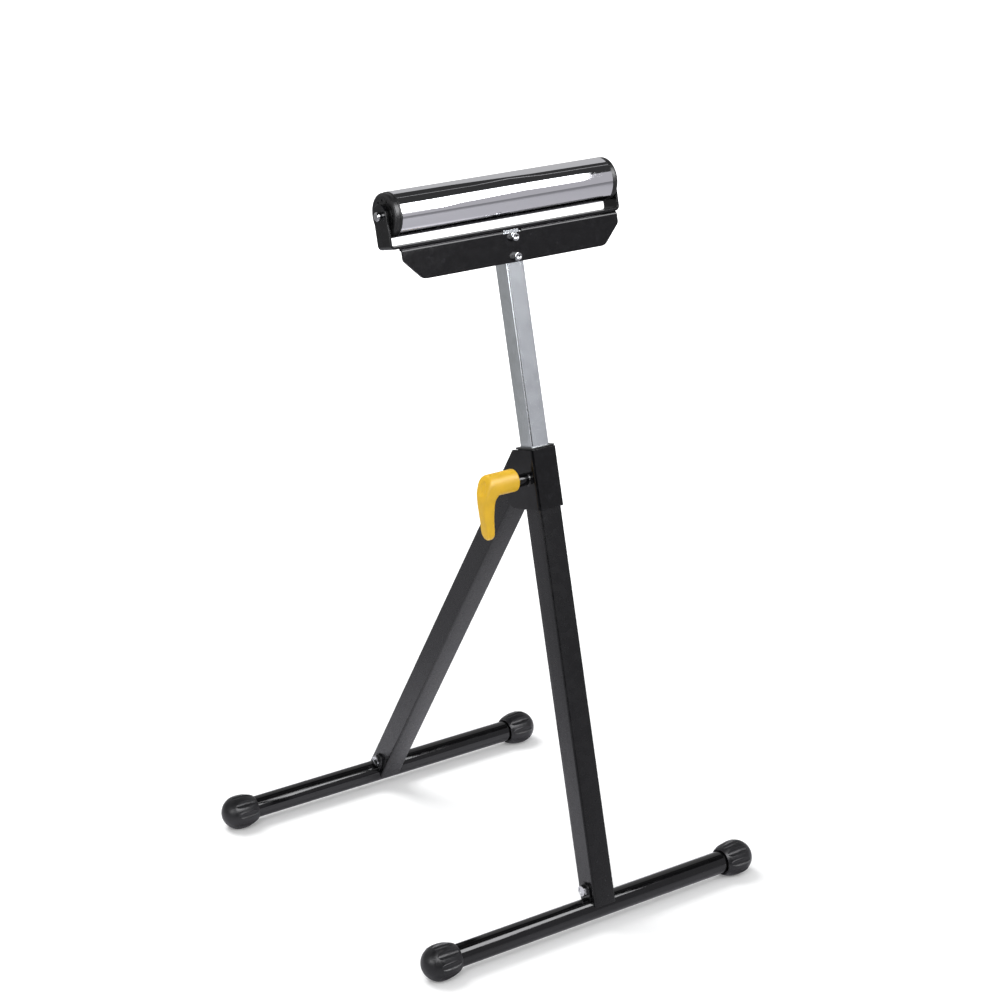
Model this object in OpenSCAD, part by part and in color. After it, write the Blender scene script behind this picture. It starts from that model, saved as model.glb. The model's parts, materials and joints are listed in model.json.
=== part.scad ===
/* [Stand] */
// Distance between the axes of the two foot tubes
stance = 475; // [420:5:570]
// Lean of the front leg from upright, in degrees
front_lean = 13.75; // [9:0.25:17]
// How far the middle of the front foot lies left of the legs
front_foot_shift = 10; // [0:1:14]
// How far the middle of the rear foot lies left of the legs
rear_foot_shift = 2; // [0:1:14]

/* [Legs] */
// Outside of the square leg tubes
leg_size = 31; // [29:1:36]
// Wall of the leg tubes
leg_wall = 1.5; // [1:0.25:2]
// Outside corner radius of the leg tubes
leg_corner_r = 2.5; // [2:0.5:4]
// Length of the front leg above its foot axis
leg_len = 569.5; // [470:0.5:680]
// Height of the leg tubes' lower ends above the foot axis
leg_lift = 3.5; // [2:0.5:6]
// Gap between the two leg tubes when they are folded together
fold_gap = 2; // [1:0.5:4]
// Depth of the pivot below the top of the front leg
pivot_drop = 33.5; // [30:0.5:36]
// Length of the rear leg above the pivot
rear_leg_top = 28.5; // [24:0.5:30]
// Gap between the rear leg's stop face and the front leg
stop_gap = 0.3; // [0.2:0.1:1]

/* [Feet] */
// Outside of the round foot tubes
foot_tube_d = 28.5; // [25:0.5:32]
// Wall of the foot tubes
foot_tube_wall = 1.5; // [1:0.25:2]
// Distance between the centres of a foot's two ball caps
ball_spacing = 450; // [380:5:560]
// Diameter of a ball cap
ball_d = 43.4; // [40:0.2:52]
// Reach of a ball cap's straight belt towards the tube
belt_in = 1; // [0.5:0.25:3]
// Reach of that belt towards the cap's nose
belt_out = 2.2; // [0.5:0.1:4]
// Depth of the flat that a ball cap stands on
ball_flat = 0.4; // [0.2:0.1:1]
// Distance from a ball's centre to its collar
collar_in = 21.5; // [18:0.5:25]
// Outside radius of the collar
collar_r = 17; // [16.5:0.25:18.5]
// Width of the open ring between the collar and the tube
collar_ring = 1.3; // [0.8:0.1:2]
// Depth of that ring
collar_ring_depth = 3; // [1:0.5:5]
// Distance from a ball's centre to the end of the tube inside it
tube_in = 5; // [2:1:10]
// Number of grooves round a ball cap
flute_count = 9; // [6:1:12]
// Radius of the grooves
flute_r = 6; // [4:0.25:7]
// Depth of the grooves
flute_depth = 1.9; // [0.5:0.1:2]

/* [Foot ears] */
// Width of the ears that hold a foot to its leg
ear_w = 18; // [17:1:24]
// Thickness of those ears
ear_t = 2; // [1.5:0.25:3]
// Gap between an ear and the leg tube
ear_gap = 0.2; // [0.1:0.1:0.5]
// Height of the foot bolt above the foot axis
foot_bolt_up = 24.6; // [23:0.2:28]

/* [Clamp head] */
// Thickness of the clamp head's sheet
head_t = 2.5; // [2:0.25:3]
// Outside bend radius of that sheet
head_bend_r = 3.5; // [3:0.25:5]
// Depth of the clamp head's top below the top of the leg
head_drop = 0.5; // [0:0.5:3]
// Height of the clamp head
head_h = 72.4; // [66:0.4:80]
// Radius of its lower rear corners
head_corner_r = 18; // [12:1:22]
// Side clearance round the legs inside the clamp head
head_clear = 0.3; // [0.2:0.1:0.5]

/* [Clamp screw] */
// Depth of the clamp screw's axis below the top of the leg
screw_drop = 35.2; // [34:0.2:40]
// Outside of the clamp boss
boss_d = 15; // [14:0.5:18]
// Length of the clamp boss
boss_len = 18; // [14:0.5:24]
// Diameter of the clamp screw
screw_d = 10; // [8:0.5:10]
// Diameter of the pressure pad
pad_d = 11; // [10.5:0.1:11.2]
// Thickness of the pressure pad
pad_t = 3; // [2.5:0.25:3]
// Gap between the pressure pad and the post
pad_gap = 0.1; // [0.05:0.05:0.2]
// Diameter of the spigot that carries the pad
spigot_d = 6; // [4:0.5:7]
// Length of the spigot
spigot_len = 1.9; // [1.5:0.1:2]

/* [Handle] */
// Diameter of the handle's hub
hub_d = 27.4; // [22:0.2:30]
// Length of the hub
hub_len = 47; // [36:1:56]
// Height of the hub's centre above the screw's axis
hub_rise = 2.9; // [0:0.1:3.5]
// Gap between the boss and the hub
hub_gap = 1.2; // [1:0.1:3]
// Radius of the hub's outer edge
hub_round = 4; // [2:0.5:6]
// Reach of the lever from the screw's axis
lever_len = 66; // [56:1:80]
// Thickness of the lever
lever_t = 15.5; // [12:0.5:18]
// Radius of the lever's tip
lever_tip_r = 7.5; // [6:0.5:8.5]
// Width of the hollow in the hub's face
dimple_w = 12.5; // [8:0.5:14]
// Height of that hollow
dimple_h = 18; // [12:0.5:20]
// Depth of that hollow
dimple_depth = 1.2; // [0.5:0.1:2]
// How deep the screw is set in the hub
screw_grip = 30; // [20:1:34]

/* [Post] */
// Outside of the square post
post_size = 25; // [23:0.5:26]
// Wall of the post
post_wall = 1.5; // [1:0.25:2]
// Outside corner radius of the post
post_corner_r = 2; // [1.75:0.25:3]
// Length of the post
post_len = 570; // [460:5:700]
// Length of the post above the leg as the stand is set
post_out = 256.8; // [225:0.2:360]
// Side clearance of the post in its guide bush
post_clear = 0.3; // [0.2:0.05:0.5]
// Side clearance of the post's bottom plug in the leg
plug_clear = 0.3; // [0.2:0.05:0.5]
// Thickness of the plug's foot
plug_foot = 4; // [3:0.5:6]
// Length of the plug inside the post
plug_len = 20; // [12:1:30]
// Wall of the plug inside the post
plug_wall = 2; // [1.5:0.25:3]
// Thickness of the guide bush's rim
bush_rim = 2; // [1.5:0.5:4]
// How far that rim stands out over the leg
bush_rim_over = 1.7; // [0.5:0.1:3]
// Length of the guide bush inside the leg
bush_len = 24; // [16:1:26]
// Width of the tongue on the post's top edge
tongue_w = 21; // [10:1:21]
// Height of the tongue
tongue_h = 2.7; // [1:0.1:2.8]

/* [Roller bracket] */
// Thickness of the sheets of the bracket and its flange plate
bracket_t = 3; // [2.5:0.25:3.5]
// Outside bend radius of the flange
flange_bend_r = 4; // [3.6:0.1:5]
// Outside bend radius below the upright arms
arm_bend_r = 6; // [4:0.5:8]
// Width of the upright arms
arm_w = 27; // [24:1:32]
// Length of the flange
flange_len = 310; // [280:2:316]
// Height of the flange below the top face of its plate
flange_h = 38.4; // [36:0.4:44]
// Length of the flange's slanted lower corners
slant_len = 24; // [16:1:40]
// Height of those slanted corners
slant_h = 24; // [14:1:26]
// Length of the notches behind the flange at both its ends
notch_len = 30; // [10:1:60]
// Depth of flange plate left in front of those notches
notch_front = 6; // [5:0.5:12]
// Width of the window where the flange meets the post
window_w = 26; // [22:0.4:34]
// Height of the window in the flange
window_h = 4; // [3.5:0.5:6]
// Depth of the upper bolt below the plate's top face
upper_bolt_drop = 9.1; // [8.6:0.1:10]
// Spacing of the two bracket bolts
bracket_bolt_pitch = 23; // [20:0.5:24]

/* [Roller] */
// Outside of the roller
roller_d = 53.3; // [51:0.1:60]
// Length of the roller's steel tube
roller_len = 302; // [280:1:320]
// How far left of the post the roller's middle lies
roller_shift = 3.6; // [0:0.2:5]
// Wall of the roller's tube
roller_wall = 1.5; // [1.2:0.1:2]
// Gap between the roller and the bracket
roller_gap = 9.8; // [8:0.2:20]
// How far an end cap stands out of the roller's tube
cap_out = 8.5; // [6:0.5:9]
// Thickness of the cap's rim
cap_rim = 2; // [1:0.25:3]
// Step from the rim down to the cap's side
cap_step = 0.5; // [0.3:0.1:2]
// Depth of the cap's plug in the tube
cap_plug = 15; // [10:1:24]
// Wall of that plug
cap_plug_wall = 2.5; // [2:0.25:3]
// Clearance between the end caps and the bracket's arms
cap_clear = 2.5; // [1:0.1:5]
// Radius of the end cap's outer edge
cap_edge_r = 3; // [1.5:0.25:3.5]

/* [Roller bearings] */
// Outside of a bearing
bearing_d = 44; // [42:0.5:45]
// Width of a bearing
bearing_w = 7.5; // [6:0.25:8]
// Depth of a bearing's face behind the cap's face
bearing_sink = 0.5; // [0.25:0.25:1]
// Diameter of the circle through the balls' centres
ball_circle_d = 35; // [34:0.25:36]
// Diameter of a bearing ball
bearing_ball_d = 4.4; // [4:0.1:4.6]
// Number of balls in a bearing
bearing_balls_n = 12; // [10:1:16]
// Width of the open ring between a bearing's inner and outer ring
race_gap = 3.6; // [3.2:0.1:4]
// Clearance round a bearing ball
race_clear = 0.1; // [0.05:0.01:0.15]
// Thickness of the cage that closes this ring
cage_t = 1; // [0.75:0.25:1.25]
// Diameter of the windows in the cage that show the balls
cage_window_d = 2.6; // [1.5:0.1:2.8]
// Diameter of the inner ring's nose
nose_d = 16; // [14:0.5:20]

/* [Axle] */
// Diameter of the roller's axle
axle_d = 8; // [6:0.5:9]
// Diameter of the axle's two round heads
axle_head_d = 10.8; // [10:0.2:14]
// Height of those heads
axle_head_h = 5.6; // [2:0.1:7]
// Radius of their edges
axle_head_r = 1.8; // [0.5:0.1:1.9]
// Outside of the spacer tube on the axle
spacer_d = 12; // [11.5:0.25:14]

/* [Bolts] */
// Diameter of the leg bolts
bolt_d = 8; // [6:0.5:9]
// Width of their heads and nuts across the flats
bolt_flats = 13; // [12:0.5:15]
// Height of their heads
bolt_head_h = 5.3; // [4:0.1:6]
// Height of their nuts
nut_h = 6.5; // [5:0.25:8]
// Outside of their washers
washer_d = 16; // [14:0.5:18]
// Thickness of their washers
washer_t = 1.6; // [1:0.1:2]
// Length of a bolt past its nut
bolt_end = 2; // [1:0.5:4]
// Outside of the press nut in a foot's right-hand ear
press_nut_d = 12; // [11:0.25:13]
// Length of that press nut
press_nut_len = 7; // [5:0.5:10]
// Outside of the bush that the rear leg turns on
pivot_bush_d = 12; // [11.5:0.25:14]
// Diameter of the bracket bolts
small_bolt_d = 6; // [5:0.25:6.25]
// Diameter of their heads
small_head_d = 10; // [9:0.25:11]
// Height of their heads
small_head_h = 6; // [5:0.25:7]
// Width across the flats of the sockets in their heads
socket_flats = 5; // [4:0.25:5.5]
// Depth of those sockets
socket_depth = 3; // [2:0.25:4]
// Width of their nuts across the flats
small_nut_flats = 10; // [9:0.25:11]
// Height of their nuts
small_nut_h = 5; // [4:0.25:6]
// Outside of their washers
small_washer_d = 12; // [11:0.25:13]
// Thickness of their washers
small_washer_t = 1.5; // [1:0.1:1.6]

/* [Fits] */
// Clearance round a bolt in its hole
hole_clear = 0.2; // [0.1:0.05:0.4]
// Running clearance round a turning shaft
run_clear = 0.05; // [0.02:0.01:0.08]
// Gap left for a seat or a weld
seat_gap = 0.1; // [0.05:0.01:0.15]

/* [Hidden] */

round_fn = 64;
arc_steps = 6;
overrun = 5;

// Places of the feet, with the middle of the whole base at x = 0, y = 0
leg_x = (front_foot_shift + rear_foot_shift) / 2;
front_foot_x = leg_x - front_foot_shift;
rear_foot_x = leg_x - rear_foot_shift;
ball_r = ball_d / 2;
foot_z = ball_r - ball_flat;
foot_tube_half = ball_spacing / 2 - tube_in;
leg_half = leg_size / 2;
leg_bore = leg_size - 2 * leg_wall;

// The pivot in the front leg's own frame, and the rear leg that reaches from it to its foot
pivot_back = leg_size + fold_gap;
pivot_up = leg_len - pivot_drop;
pivot_y = -stance / 2 + pivot_up * sin(front_lean) + pivot_back * cos(front_lean);
pivot_rise = pivot_up * cos(front_lean) - pivot_back * sin(front_lean);
rear_run = stance / 2 - pivot_y;
rear_lean = atan2(rear_run, pivot_rise);
rear_len = norm([rear_run, pivot_rise]);
open_angle = front_lean + rear_lean;

// The rear leg's lower corner turns past the front leg inside this radius
heel_r = leg_half + fold_gap - seat_gap * 4;

// The clamp head's outline follows the open rear leg's upper face
head_top = leg_len - head_drop;
head_bottom = head_top - head_h;
head_inner = leg_half + head_clear;
head_outer = head_inner + head_t;
head_front = leg_half + head_t;
head_back = pivot_back + leg_half;
slope_y = pivot_back + leg_half * cos(open_angle);
slope_z = pivot_up + leg_half * sin(open_angle);
slope_top_y = slope_y - (head_top - slope_z) * tan(open_angle);
slope_low_z = slope_z - (head_back - slope_y) / tan(open_angle);

// The clamp screw and what rides on it
screw_up = leg_len - screw_drop;
pad_hole_d = pad_d + 4 * hole_clear;
pad_x = post_size / 2 + pad_gap;
screw_face_x = pad_x + pad_t + run_clear;
boss_x = head_outer;
hub_x = boss_x + boss_len + hub_gap;
hub_end_x = hub_x + hub_len;
screw_end_x = hub_x + screw_grip;
lever_x = hub_end_x - lever_t;
// The lever's half width as shares of the hub's radius, against shares of its length
lever_half_shares = [
  [0.08, 0.97], [0.16, 0.86], [0.25, 0.74], [0.36, 0.64],
  [0.48, 0.58], [0.6, 0.56], [0.72, 0.55], [0.84, 0.55]
];
// The lever's thickness as shares of its root's, against shares of its length
lever_out_shares = [
  [0.15, 1.05], [0.3, 1.08], [0.44, 1.01], [0.58, 0.92],
  [0.71, 0.8], [0.82, 0.67], [0.9, 0.56], [0.96, 0.45]
];

// The post and its ends
post_top = leg_len + post_out;
post_bottom = post_top - post_len;
post_bore = post_size - 2 * post_wall;
post_half = post_size / 2;

// The flange plate on the post, the bracket on the plate, and the roller above them
plate_top = post_top + bracket_t;
bracket_top = plate_top + bracket_t;
flange_face = post_half + bracket_t;
upper_bolt_up = plate_top - upper_bolt_drop;
lower_bolt_up = upper_bolt_up - bracket_bolt_pitch;
roller_r = roller_d / 2;
roller_up = bracket_top + roller_gap + roller_r;
roller_half = roller_len / 2;
cap_face_x = roller_half + cap_out;
arm_x = cap_face_x + cap_clear;
arm_out_x = arm_x + bracket_t;

// The bearings and the axle
bearing_face_x = cap_face_x - bearing_sink;
bearing_back_x = bearing_face_x - bearing_w;
bearing_r = bearing_d / 2;
ball_circle_r = ball_circle_d / 2;
race_in_r = ball_circle_r - race_gap / 2;
race_out_r = ball_circle_r + race_gap / 2;
race_r = bearing_ball_d / 2 + race_clear;
race_x = (bearing_face_x + bearing_back_x) / 2;
spacer_half = bearing_back_x + bearing_sink;
foot_ear_x = leg_half + ear_gap + ear_t;

function unit(v) = v / norm(v);

// Points of the arc of radius r that rounds corner b between a and c
function corner(a, b, c, r) =
  let (
    u = unit(a - b),
    v = unit(c - b),
    half = acos(u * v) / 2,
    m = b + unit(u + v) * r / sin(half),
    s = b + u * r / tan(half) - m,
    e = b + v * r / tan(half) - m,
    from = atan2(s[1], s[0]),
    sweep = (atan2(e[1], e[0]) - from + 540) % 360 - 180
  )
  [for (i = [0 : arc_steps])
    let (a = from + sweep * i / arc_steps)
    m + r * [cos(a), sin(a)]];

// An outline with each corner rounded by its own radius, where 0 leaves it sharp
function rounded(pts, radii) =
  let (n = len(pts))
  [for (i = [0 : n - 1])
    each radii[i] > 0 ? corner(pts[(i + n - 1) % n], pts[i], pts[(i + 1) % n], radii[i]) : [pts[i]]];

function box_pts(w, d) = [[-w / 2, -d / 2], [w / 2, -d / 2], [w / 2, d / 2], [-w / 2, d / 2]];

function across_corners(flats) = flats / cos(30);

// Frames: each leg's foot axis lies at its origin, and the leg runs up its z axis
module in_front() {
  translate([leg_x, -stance / 2, foot_z])
    rotate([-front_lean, 0, 0])
      children();
}

module in_rear() {
  translate([leg_x, stance / 2, foot_z])
    rotate([rear_lean, 0, 0])
      children();
}

module at_screw() {
  in_front()
    translate([0, 0, screw_up])
      children();
}

module at_bracket() {
  in_front()
    translate([-roller_shift, 0, 0])
      children();
}

module at_roller() {
  at_bracket()
    translate([0, 0, roller_up])
      children();
}

// A flat outline in the y-z plane, given a thickness along x
module along_x(from, to) {
  translate([from, 0, 0])
    rotate([90, 0, 90])
      linear_extrude(to - from)
        children();
}

// A flat outline in the x-z plane, given a thickness along y
module along_y(from, to) {
  translate([0, to, 0])
    rotate([90, 0, 0])
      linear_extrude(to - from)
        children();
}

module rod_x(d, from, to) {
  translate([from, 0, 0])
    rotate([0, 90, 0])
      cylinder(d = d, h = to - from, $fn = round_fn);
}

module rod_y(d, from, to) {
  translate([0, to, 0])
    rotate([90, 0, 0])
      cylinder(d = d, h = to - from, $fn = round_fn);
}

module hex_x(flats, from, to) {
  translate([from, 0, 0])
    rotate([0, 90, 0])
      cylinder(d = across_corners(flats), h = to - from, $fn = 6);
}

module hex_y(flats, from, to) {
  translate([0, to, 0])
    rotate([90, 0, 0])
      cylinder(d = across_corners(flats), h = to - from, $fn = 6);
}

module ring_x(d, bore, from, to) {
  difference() {
    rod_x(d, from, to);
    rod_x(bore, from - overrun, to + overrun);
  }
}

module nut_x(flats, bore, from, to) {
  difference() {
    hex_x(flats, from, to);
    rod_x(bore, from - overrun, to + overrun);
  }
}

// A solid turned about the x axis from an outline of radius against x
module turned_x() {
  rotate([0, 90, 0])
    rotate_extrude($fn = round_fn)
      children();
}

module square_tube_2d(size, wall, r) {
  bore = size - 2 * wall;
  bore_r = r - wall;
  difference() {
    polygon(rounded(box_pts(size, size), [r, r, r, r]));
    polygon(rounded(box_pts(bore, bore), [bore_r, bore_r, bore_r, bore_r]));
  }
}

// A foot bolt's hole, wider on the right for the press nut
module foot_bolt_hole() {
  translate([0, 0, foot_bolt_up])
    union() {
      rod_x(bolt_d + 2 * hole_clear, -leg_size, 0);
      rod_x(press_nut_d + 2 * seat_gap, 0, leg_size);
    }
}

// A leg tube with its lower end cut round the foot tube and a hole for the foot bolt
module leg_tube(length) {
  difference() {
    translate([0, 0, leg_lift])
      linear_extrude(length - leg_lift)
        square_tube_2d(leg_size, leg_wall, leg_corner_r);
    rod_x(foot_tube_d + 2 * seat_gap, -leg_size, leg_size);
    foot_bolt_hole();
  }
}

module front_leg() {
  color("#2a2a2c")
    in_front()
      difference() {
        leg_tube(leg_len);
        translate([0, 0, screw_up])
          rod_x(pad_hole_d, -leg_size, 0);
      }
}

module clamp_head() {
  outline = [
    [-head_front, head_bottom], [-head_front, head_top], [slope_top_y, head_top],
    [head_back, slope_low_z], [head_back, head_bottom]
  ];
  section = [
    [-head_outer, -head_front], [head_outer, -head_front],
    [head_outer, head_back + overrun], [-head_outer, head_back + overrun]
  ];
  color("#1d1d1f")
    in_front()
      difference() {
        intersection() {
          translate([0, 0, head_bottom - overrun])
            linear_extrude(head_h + 2 * overrun)
              polygon(rounded(section, [head_bend_r, head_bend_r, 0, 0]));
          along_x(-head_outer - overrun, head_outer + overrun)
            polygon(rounded(outline, [0, 0, 0, 0, head_corner_r]));
        }
        translate([-head_inner, -leg_half, head_bottom - overrun])
          cube([2 * head_inner, head_back + leg_size, head_h + 2 * overrun]);
        translate([0, pivot_back, pivot_up])
          rod_x(bolt_d + 2 * hole_clear, -leg_size, leg_size);
        translate([0, 0, screw_up])
          rod_x(pad_hole_d, -leg_size, 0);
      }
}

module guide_bush() {
  opening = post_size + 2 * post_clear;
  sleeve = leg_bore - 2 * seat_gap;
  sleeve_r = leg_corner_r - leg_wall;
  rim = leg_size + 2 * bush_rim_over;
  color("#151516")
    in_front()
      difference() {
        union() {
          translate([0, 0, leg_len])
            linear_extrude(bush_rim)
              polygon(rounded(box_pts(rim, rim), [for (i = [0 : 3]) leg_corner_r]));
          translate([0, 0, leg_len - bush_len])
            linear_extrude(bush_len)
              polygon(rounded(box_pts(sleeve, sleeve), [for (i = [0 : 3]) sleeve_r]));
        }
        translate([0, 0, leg_len - bush_len - overrun])
          linear_extrude(bush_len + bush_rim + 2 * overrun)
            polygon(rounded(box_pts(opening, opening), [for (i = [0 : 3]) post_corner_r]));
      }
}

module clamp_boss() {
  color("#1d1d1f")
    at_screw()
      ring_x(boss_d, screw_d + 2 * run_clear, -boss_x - boss_len, -boss_x);
}

// The feet, built in the middle of their own tube
module foot_tube() {
  ring_x(foot_tube_d, foot_tube_d - 2 * foot_tube_wall, -foot_tube_half, foot_tube_half);
}

module front_foot_tube() {
  color("#141416")
    translate([front_foot_x, -stance / 2, foot_z])
      foot_tube();
}

module rear_foot_tube() {
  color("#141416")
    translate([rear_foot_x, stance / 2, foot_z])
      foot_tube();
}

module foot_ears() {
  difference() {
    for (x = [-foot_ear_x, foot_ear_x - ear_t])
      along_x(x, x + ear_t)
        union() {
          translate([0, foot_bolt_up])
            circle(d = ear_w, $fn = round_fn);
          translate([-ear_w / 2, 0])
            square([ear_w, foot_bolt_up]);
        }
    rod_x(foot_tube_d + 2 * seat_gap, -leg_size, leg_size);
    foot_bolt_hole();
  }
}

module front_foot_ears() {
  color("#101012")
    in_front()
      foot_ears();
}

module rear_foot_ears() {
  color("#101012")
    in_rear()
      foot_ears();
}

// A bolt along x with its head on the left
module leg_bolt(left, right) {
  hex_x(bolt_flats, -left - bolt_head_h, -left);
  rod_x(bolt_d, -left, right);
}

module foot_bolt() {
  translate([0, 0, foot_bolt_up])
    leg_bolt(foot_ear_x, foot_ear_x);
}

// The press nut sits in the right-hand ear, flush with its outside
module foot_nut() {
  translate([0, 0, foot_bolt_up])
    ring_x(press_nut_d, bolt_d + 2 * run_clear, foot_ear_x - press_nut_len, foot_ear_x);
}

module front_foot_bolt() {
  color("#b9bbbd")
    in_front()
      foot_bolt();
}

module front_foot_nut() {
  color("#b9bbbd")
    in_front()
      foot_nut();
}

module rear_foot_bolt() {
  color("#b9bbbd")
    in_rear()
      foot_bolt();
}

module rear_foot_nut() {
  color("#b9bbbd")
    in_rear()
      foot_nut();
}

// Half a ball cap's outline, with radius along x and the cap's axis along y: a round nose, a
// straight belt and a barrel that narrows to the collar
module cap_outline() {
  barrel = collar_in - belt_in;
  sag = ball_r - collar_r;
  barrel_r = (barrel * barrel + sag * sag) / (2 * sag);
  intersection() {
    translate([0, belt_out])
      circle(r = ball_r, $fn = round_fn);
    translate([0, belt_out])
      square(ball_r);
  }
  translate([0, -belt_in])
    square([ball_r, belt_in + belt_out]);
  intersection() {
    translate([ball_r - barrel_r, -belt_in])
      circle(r = barrel_r, $fn = round_fn);
    translate([0, -collar_in])
      square([ball_r, barrel]);
  }
}

// A ball cap about its ball's centre, with its collar towards -x
module ball_cap() {
  difference() {
    turned_x()
      cap_outline();
    for (i = [0 : flute_count - 1])
      rotate([180 + (i + 1 / 2) * 360 / flute_count, 0, 0])
        translate([0, 0, ball_r + flute_r - flute_depth])
          rod_x(2 * flute_r, -collar_in - overrun, ball_d);
    rod_x(foot_tube_d + 2 * seat_gap, -collar_in - overrun, -tube_in);
    rod_x(foot_tube_d + 2 * collar_ring, -collar_in - overrun, -collar_in + collar_ring_depth);
    translate([-ball_d, -ball_d, -foot_z - ball_d])
      cube([2 * ball_d, 2 * ball_d, ball_d]);
  }
}

module foot_cap(x, y, side) {
  color("#2e2e32")
    translate([x + side * ball_spacing / 2, y, foot_z])
      mirror([side < 0 ? 1 : 0, 0, 0])
        ball_cap();
}

module front_left_cap() {
  foot_cap(front_foot_x, -stance / 2, -1);
}

module front_right_cap() {
  foot_cap(front_foot_x, -stance / 2, 1);
}

module rear_left_cap() {
  foot_cap(rear_foot_x, stance / 2, -1);
}

module rear_right_cap() {
  foot_cap(rear_foot_x, stance / 2, 1);
}

module at_pivot() {
  in_front()
    translate([0, pivot_back, pivot_up])
      children();
}

module pivot_bolt() {
  color("#b9bbbd")
    at_pivot()
      leg_bolt(head_outer, head_outer + washer_t + nut_h + bolt_end);
}

module pivot_washer() {
  color("#b9bbbd")
    at_pivot()
      ring_x(washer_d, bolt_d + 2 * hole_clear, head_outer, head_outer + washer_t);
}

module pivot_nut() {
  x = head_outer + washer_t;
  color("#b9bbbd")
    at_pivot()
      nut_x(bolt_flats, bolt_d + 2 * run_clear, x, x + nut_h);
}

// The corner of the rear leg's end that would catch the front leg as it turns
module heel_cut() {
  difference() {
    intersection() {
      in_front()
        translate([-leg_size, -leg_size, pivot_up - leg_size])
          cube([2 * leg_size, leg_size + pivot_back, leg_size]);
      in_rear()
        translate([-leg_size, -leg_size, rear_len])
          cube([2 * leg_size, 2 * leg_size, leg_size]);
    }
    at_pivot()
      rod_x(2 * heel_r, -2 * leg_size, 2 * leg_size);
  }
}

module rear_leg() {
  color("#4a4a50")
    difference() {
      in_rear()
        leg_tube(rear_len + rear_leg_top);
      in_front()
        translate([-leg_size, -leg_size, pivot_up - leg_size])
          cube([2 * leg_size, leg_size + leg_half + stop_gap, 3 * leg_size]);
      heel_cut();
      at_pivot()
        rod_x(pivot_bush_d + 2 * seat_gap, -leg_size, leg_size);
    }
}

module rear_leg_bush() {
  color("#9c9ea0")
    at_pivot()
      ring_x(pivot_bush_d, bolt_d + 2 * run_clear, -leg_half - seat_gap, leg_half + seat_gap);
}

// The clamp screw runs out to the left
module pressure_pad() {
  depth = spigot_len + run_clear;
  color("#9c9ea0")
    at_screw()
      difference() {
        rod_x(pad_d, -pad_x - pad_t, -pad_x);
        rod_x(spigot_d + 2 * run_clear, -pad_x - pad_t - overrun, -pad_x - pad_t + depth);
      }
}

module clamp_stud() {
  color("#b9bbbd")
    at_screw()
      union() {
        rod_x(screw_d, -screw_end_x, -screw_face_x);
        rod_x(spigot_d, -screw_face_x - spigot_len, -screw_face_x + spigot_len);
      }
}

// The lever seen along the screw, hanging down from the hub's centre
function lever_side_pts() =
  let (
    hub_r = hub_d / 2,
    side = [for (s = lever_half_shares) [hub_r * s[1], -lever_len * s[0]]],
    tip = [for (i = [0 : 2 * arc_steps])
      let (a = -90 * i / arc_steps)
      [lever_tip_r * cos(a), lever_tip_r * sin(a) - lever_len + lever_tip_r]],
    back = [for (i = [len(side) - 1 : -1 : 0]) [-side[i][0], side[i][1]]]
  )
  concat([[hub_r, 0]], side, tip, back, [[-hub_r, 0]]);

// The lever seen from the front, from its flat inner face to its bowed outer face
function lever_front_pts() =
  concat(
    [[-lever_x, -lever_len], [-lever_x, 0], [-hub_end_x, 0]],
    [for (s = lever_out_shares) [-lever_x - lever_t * s[1], -lever_len * s[0]]],
    [[-lever_x - lever_t / 3, -lever_len]]
  );

function dimple_pts() =
  [for (i = [0 : 4 * arc_steps - 1])
    let (a = 90 * i / arc_steps)
    [dimple_w / 2 * cos(a), dimple_h / 2 * sin(a)]];

module clamp_handle() {
  hub_r = hub_d / 2;
  profile = [[0, -hub_end_x], [hub_r, -hub_end_x], [hub_r, -hub_x], [0, -hub_x]];
  color("#e6b82f")
    at_screw()
      rotate([front_lean, 0, 0])
        difference() {
          translate([0, 0, hub_rise])
            difference() {
              union() {
                turned_x()
                  polygon(rounded(profile, [0, hub_round, 0, 0]));
                intersection() {
                  along_x(-hub_end_x - lever_t, -lever_x)
                    polygon(lever_side_pts());
                  along_y(-hub_d, hub_d)
                    polygon(lever_front_pts());
                }
              }
              along_x(-hub_end_x - lever_t, -hub_end_x + dimple_depth)
                polygon(dimple_pts());
            }
          rod_x(screw_d + 2 * seat_gap, -screw_end_x, -hub_x + overrun);
        }
}

module small_bolt_pair() {
  for (up = [upper_bolt_up, lower_bolt_up])
    translate([0, 0, up])
      children();
}

module inner_post() {
  color("#a9adb3")
    in_front()
      difference() {
        union() {
          translate([0, 0, post_bottom])
            linear_extrude(post_len)
              square_tube_2d(post_size, post_wall, post_corner_r);
          translate([-tongue_w / 2, -post_half, post_top - overrun])
            cube([tongue_w, post_wall, tongue_h + overrun]);
        }
        small_bolt_pair()
          rod_y(small_bolt_d + 2 * hole_clear, -post_size, post_size);
      }
}

module post_bottom_plug() {
  foot = leg_bore - 2 * plug_clear;
  insert = post_bore - 2 * seat_gap;
  insert_r = post_corner_r - post_wall;
  hollow = insert - 2 * plug_wall;
  color("#151516")
    in_front()
      difference() {
        union() {
          translate([0, 0, post_bottom - plug_foot])
            linear_extrude(plug_foot)
              polygon(rounded(box_pts(foot, foot), [for (i = [0 : 3]) post_corner_r]));
          translate([0, 0, post_bottom])
            linear_extrude(plug_len)
              polygon(rounded(box_pts(insert, insert), [for (i = [0 : 3]) insert_r]));
        }
        translate([-hollow / 2, -hollow / 2, post_bottom])
          cube([hollow, hollow, plug_len + overrun]);
      }
}

// A bent corner of sheet, with its outer corner at the origin and its arms along +x and +y
module bent_2d(x_len, y_len, t, r) {
  translate([r, 0])
    square([x_len - r, t]);
  translate([0, r])
    square([t, y_len - r]);
  difference() {
    intersection() {
      square(r);
      translate([r, r])
        circle(r = r, $fn = round_fn);
    }
    translate([r, r])
      circle(r = r - t, $fn = round_fn);
  }
}

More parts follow.
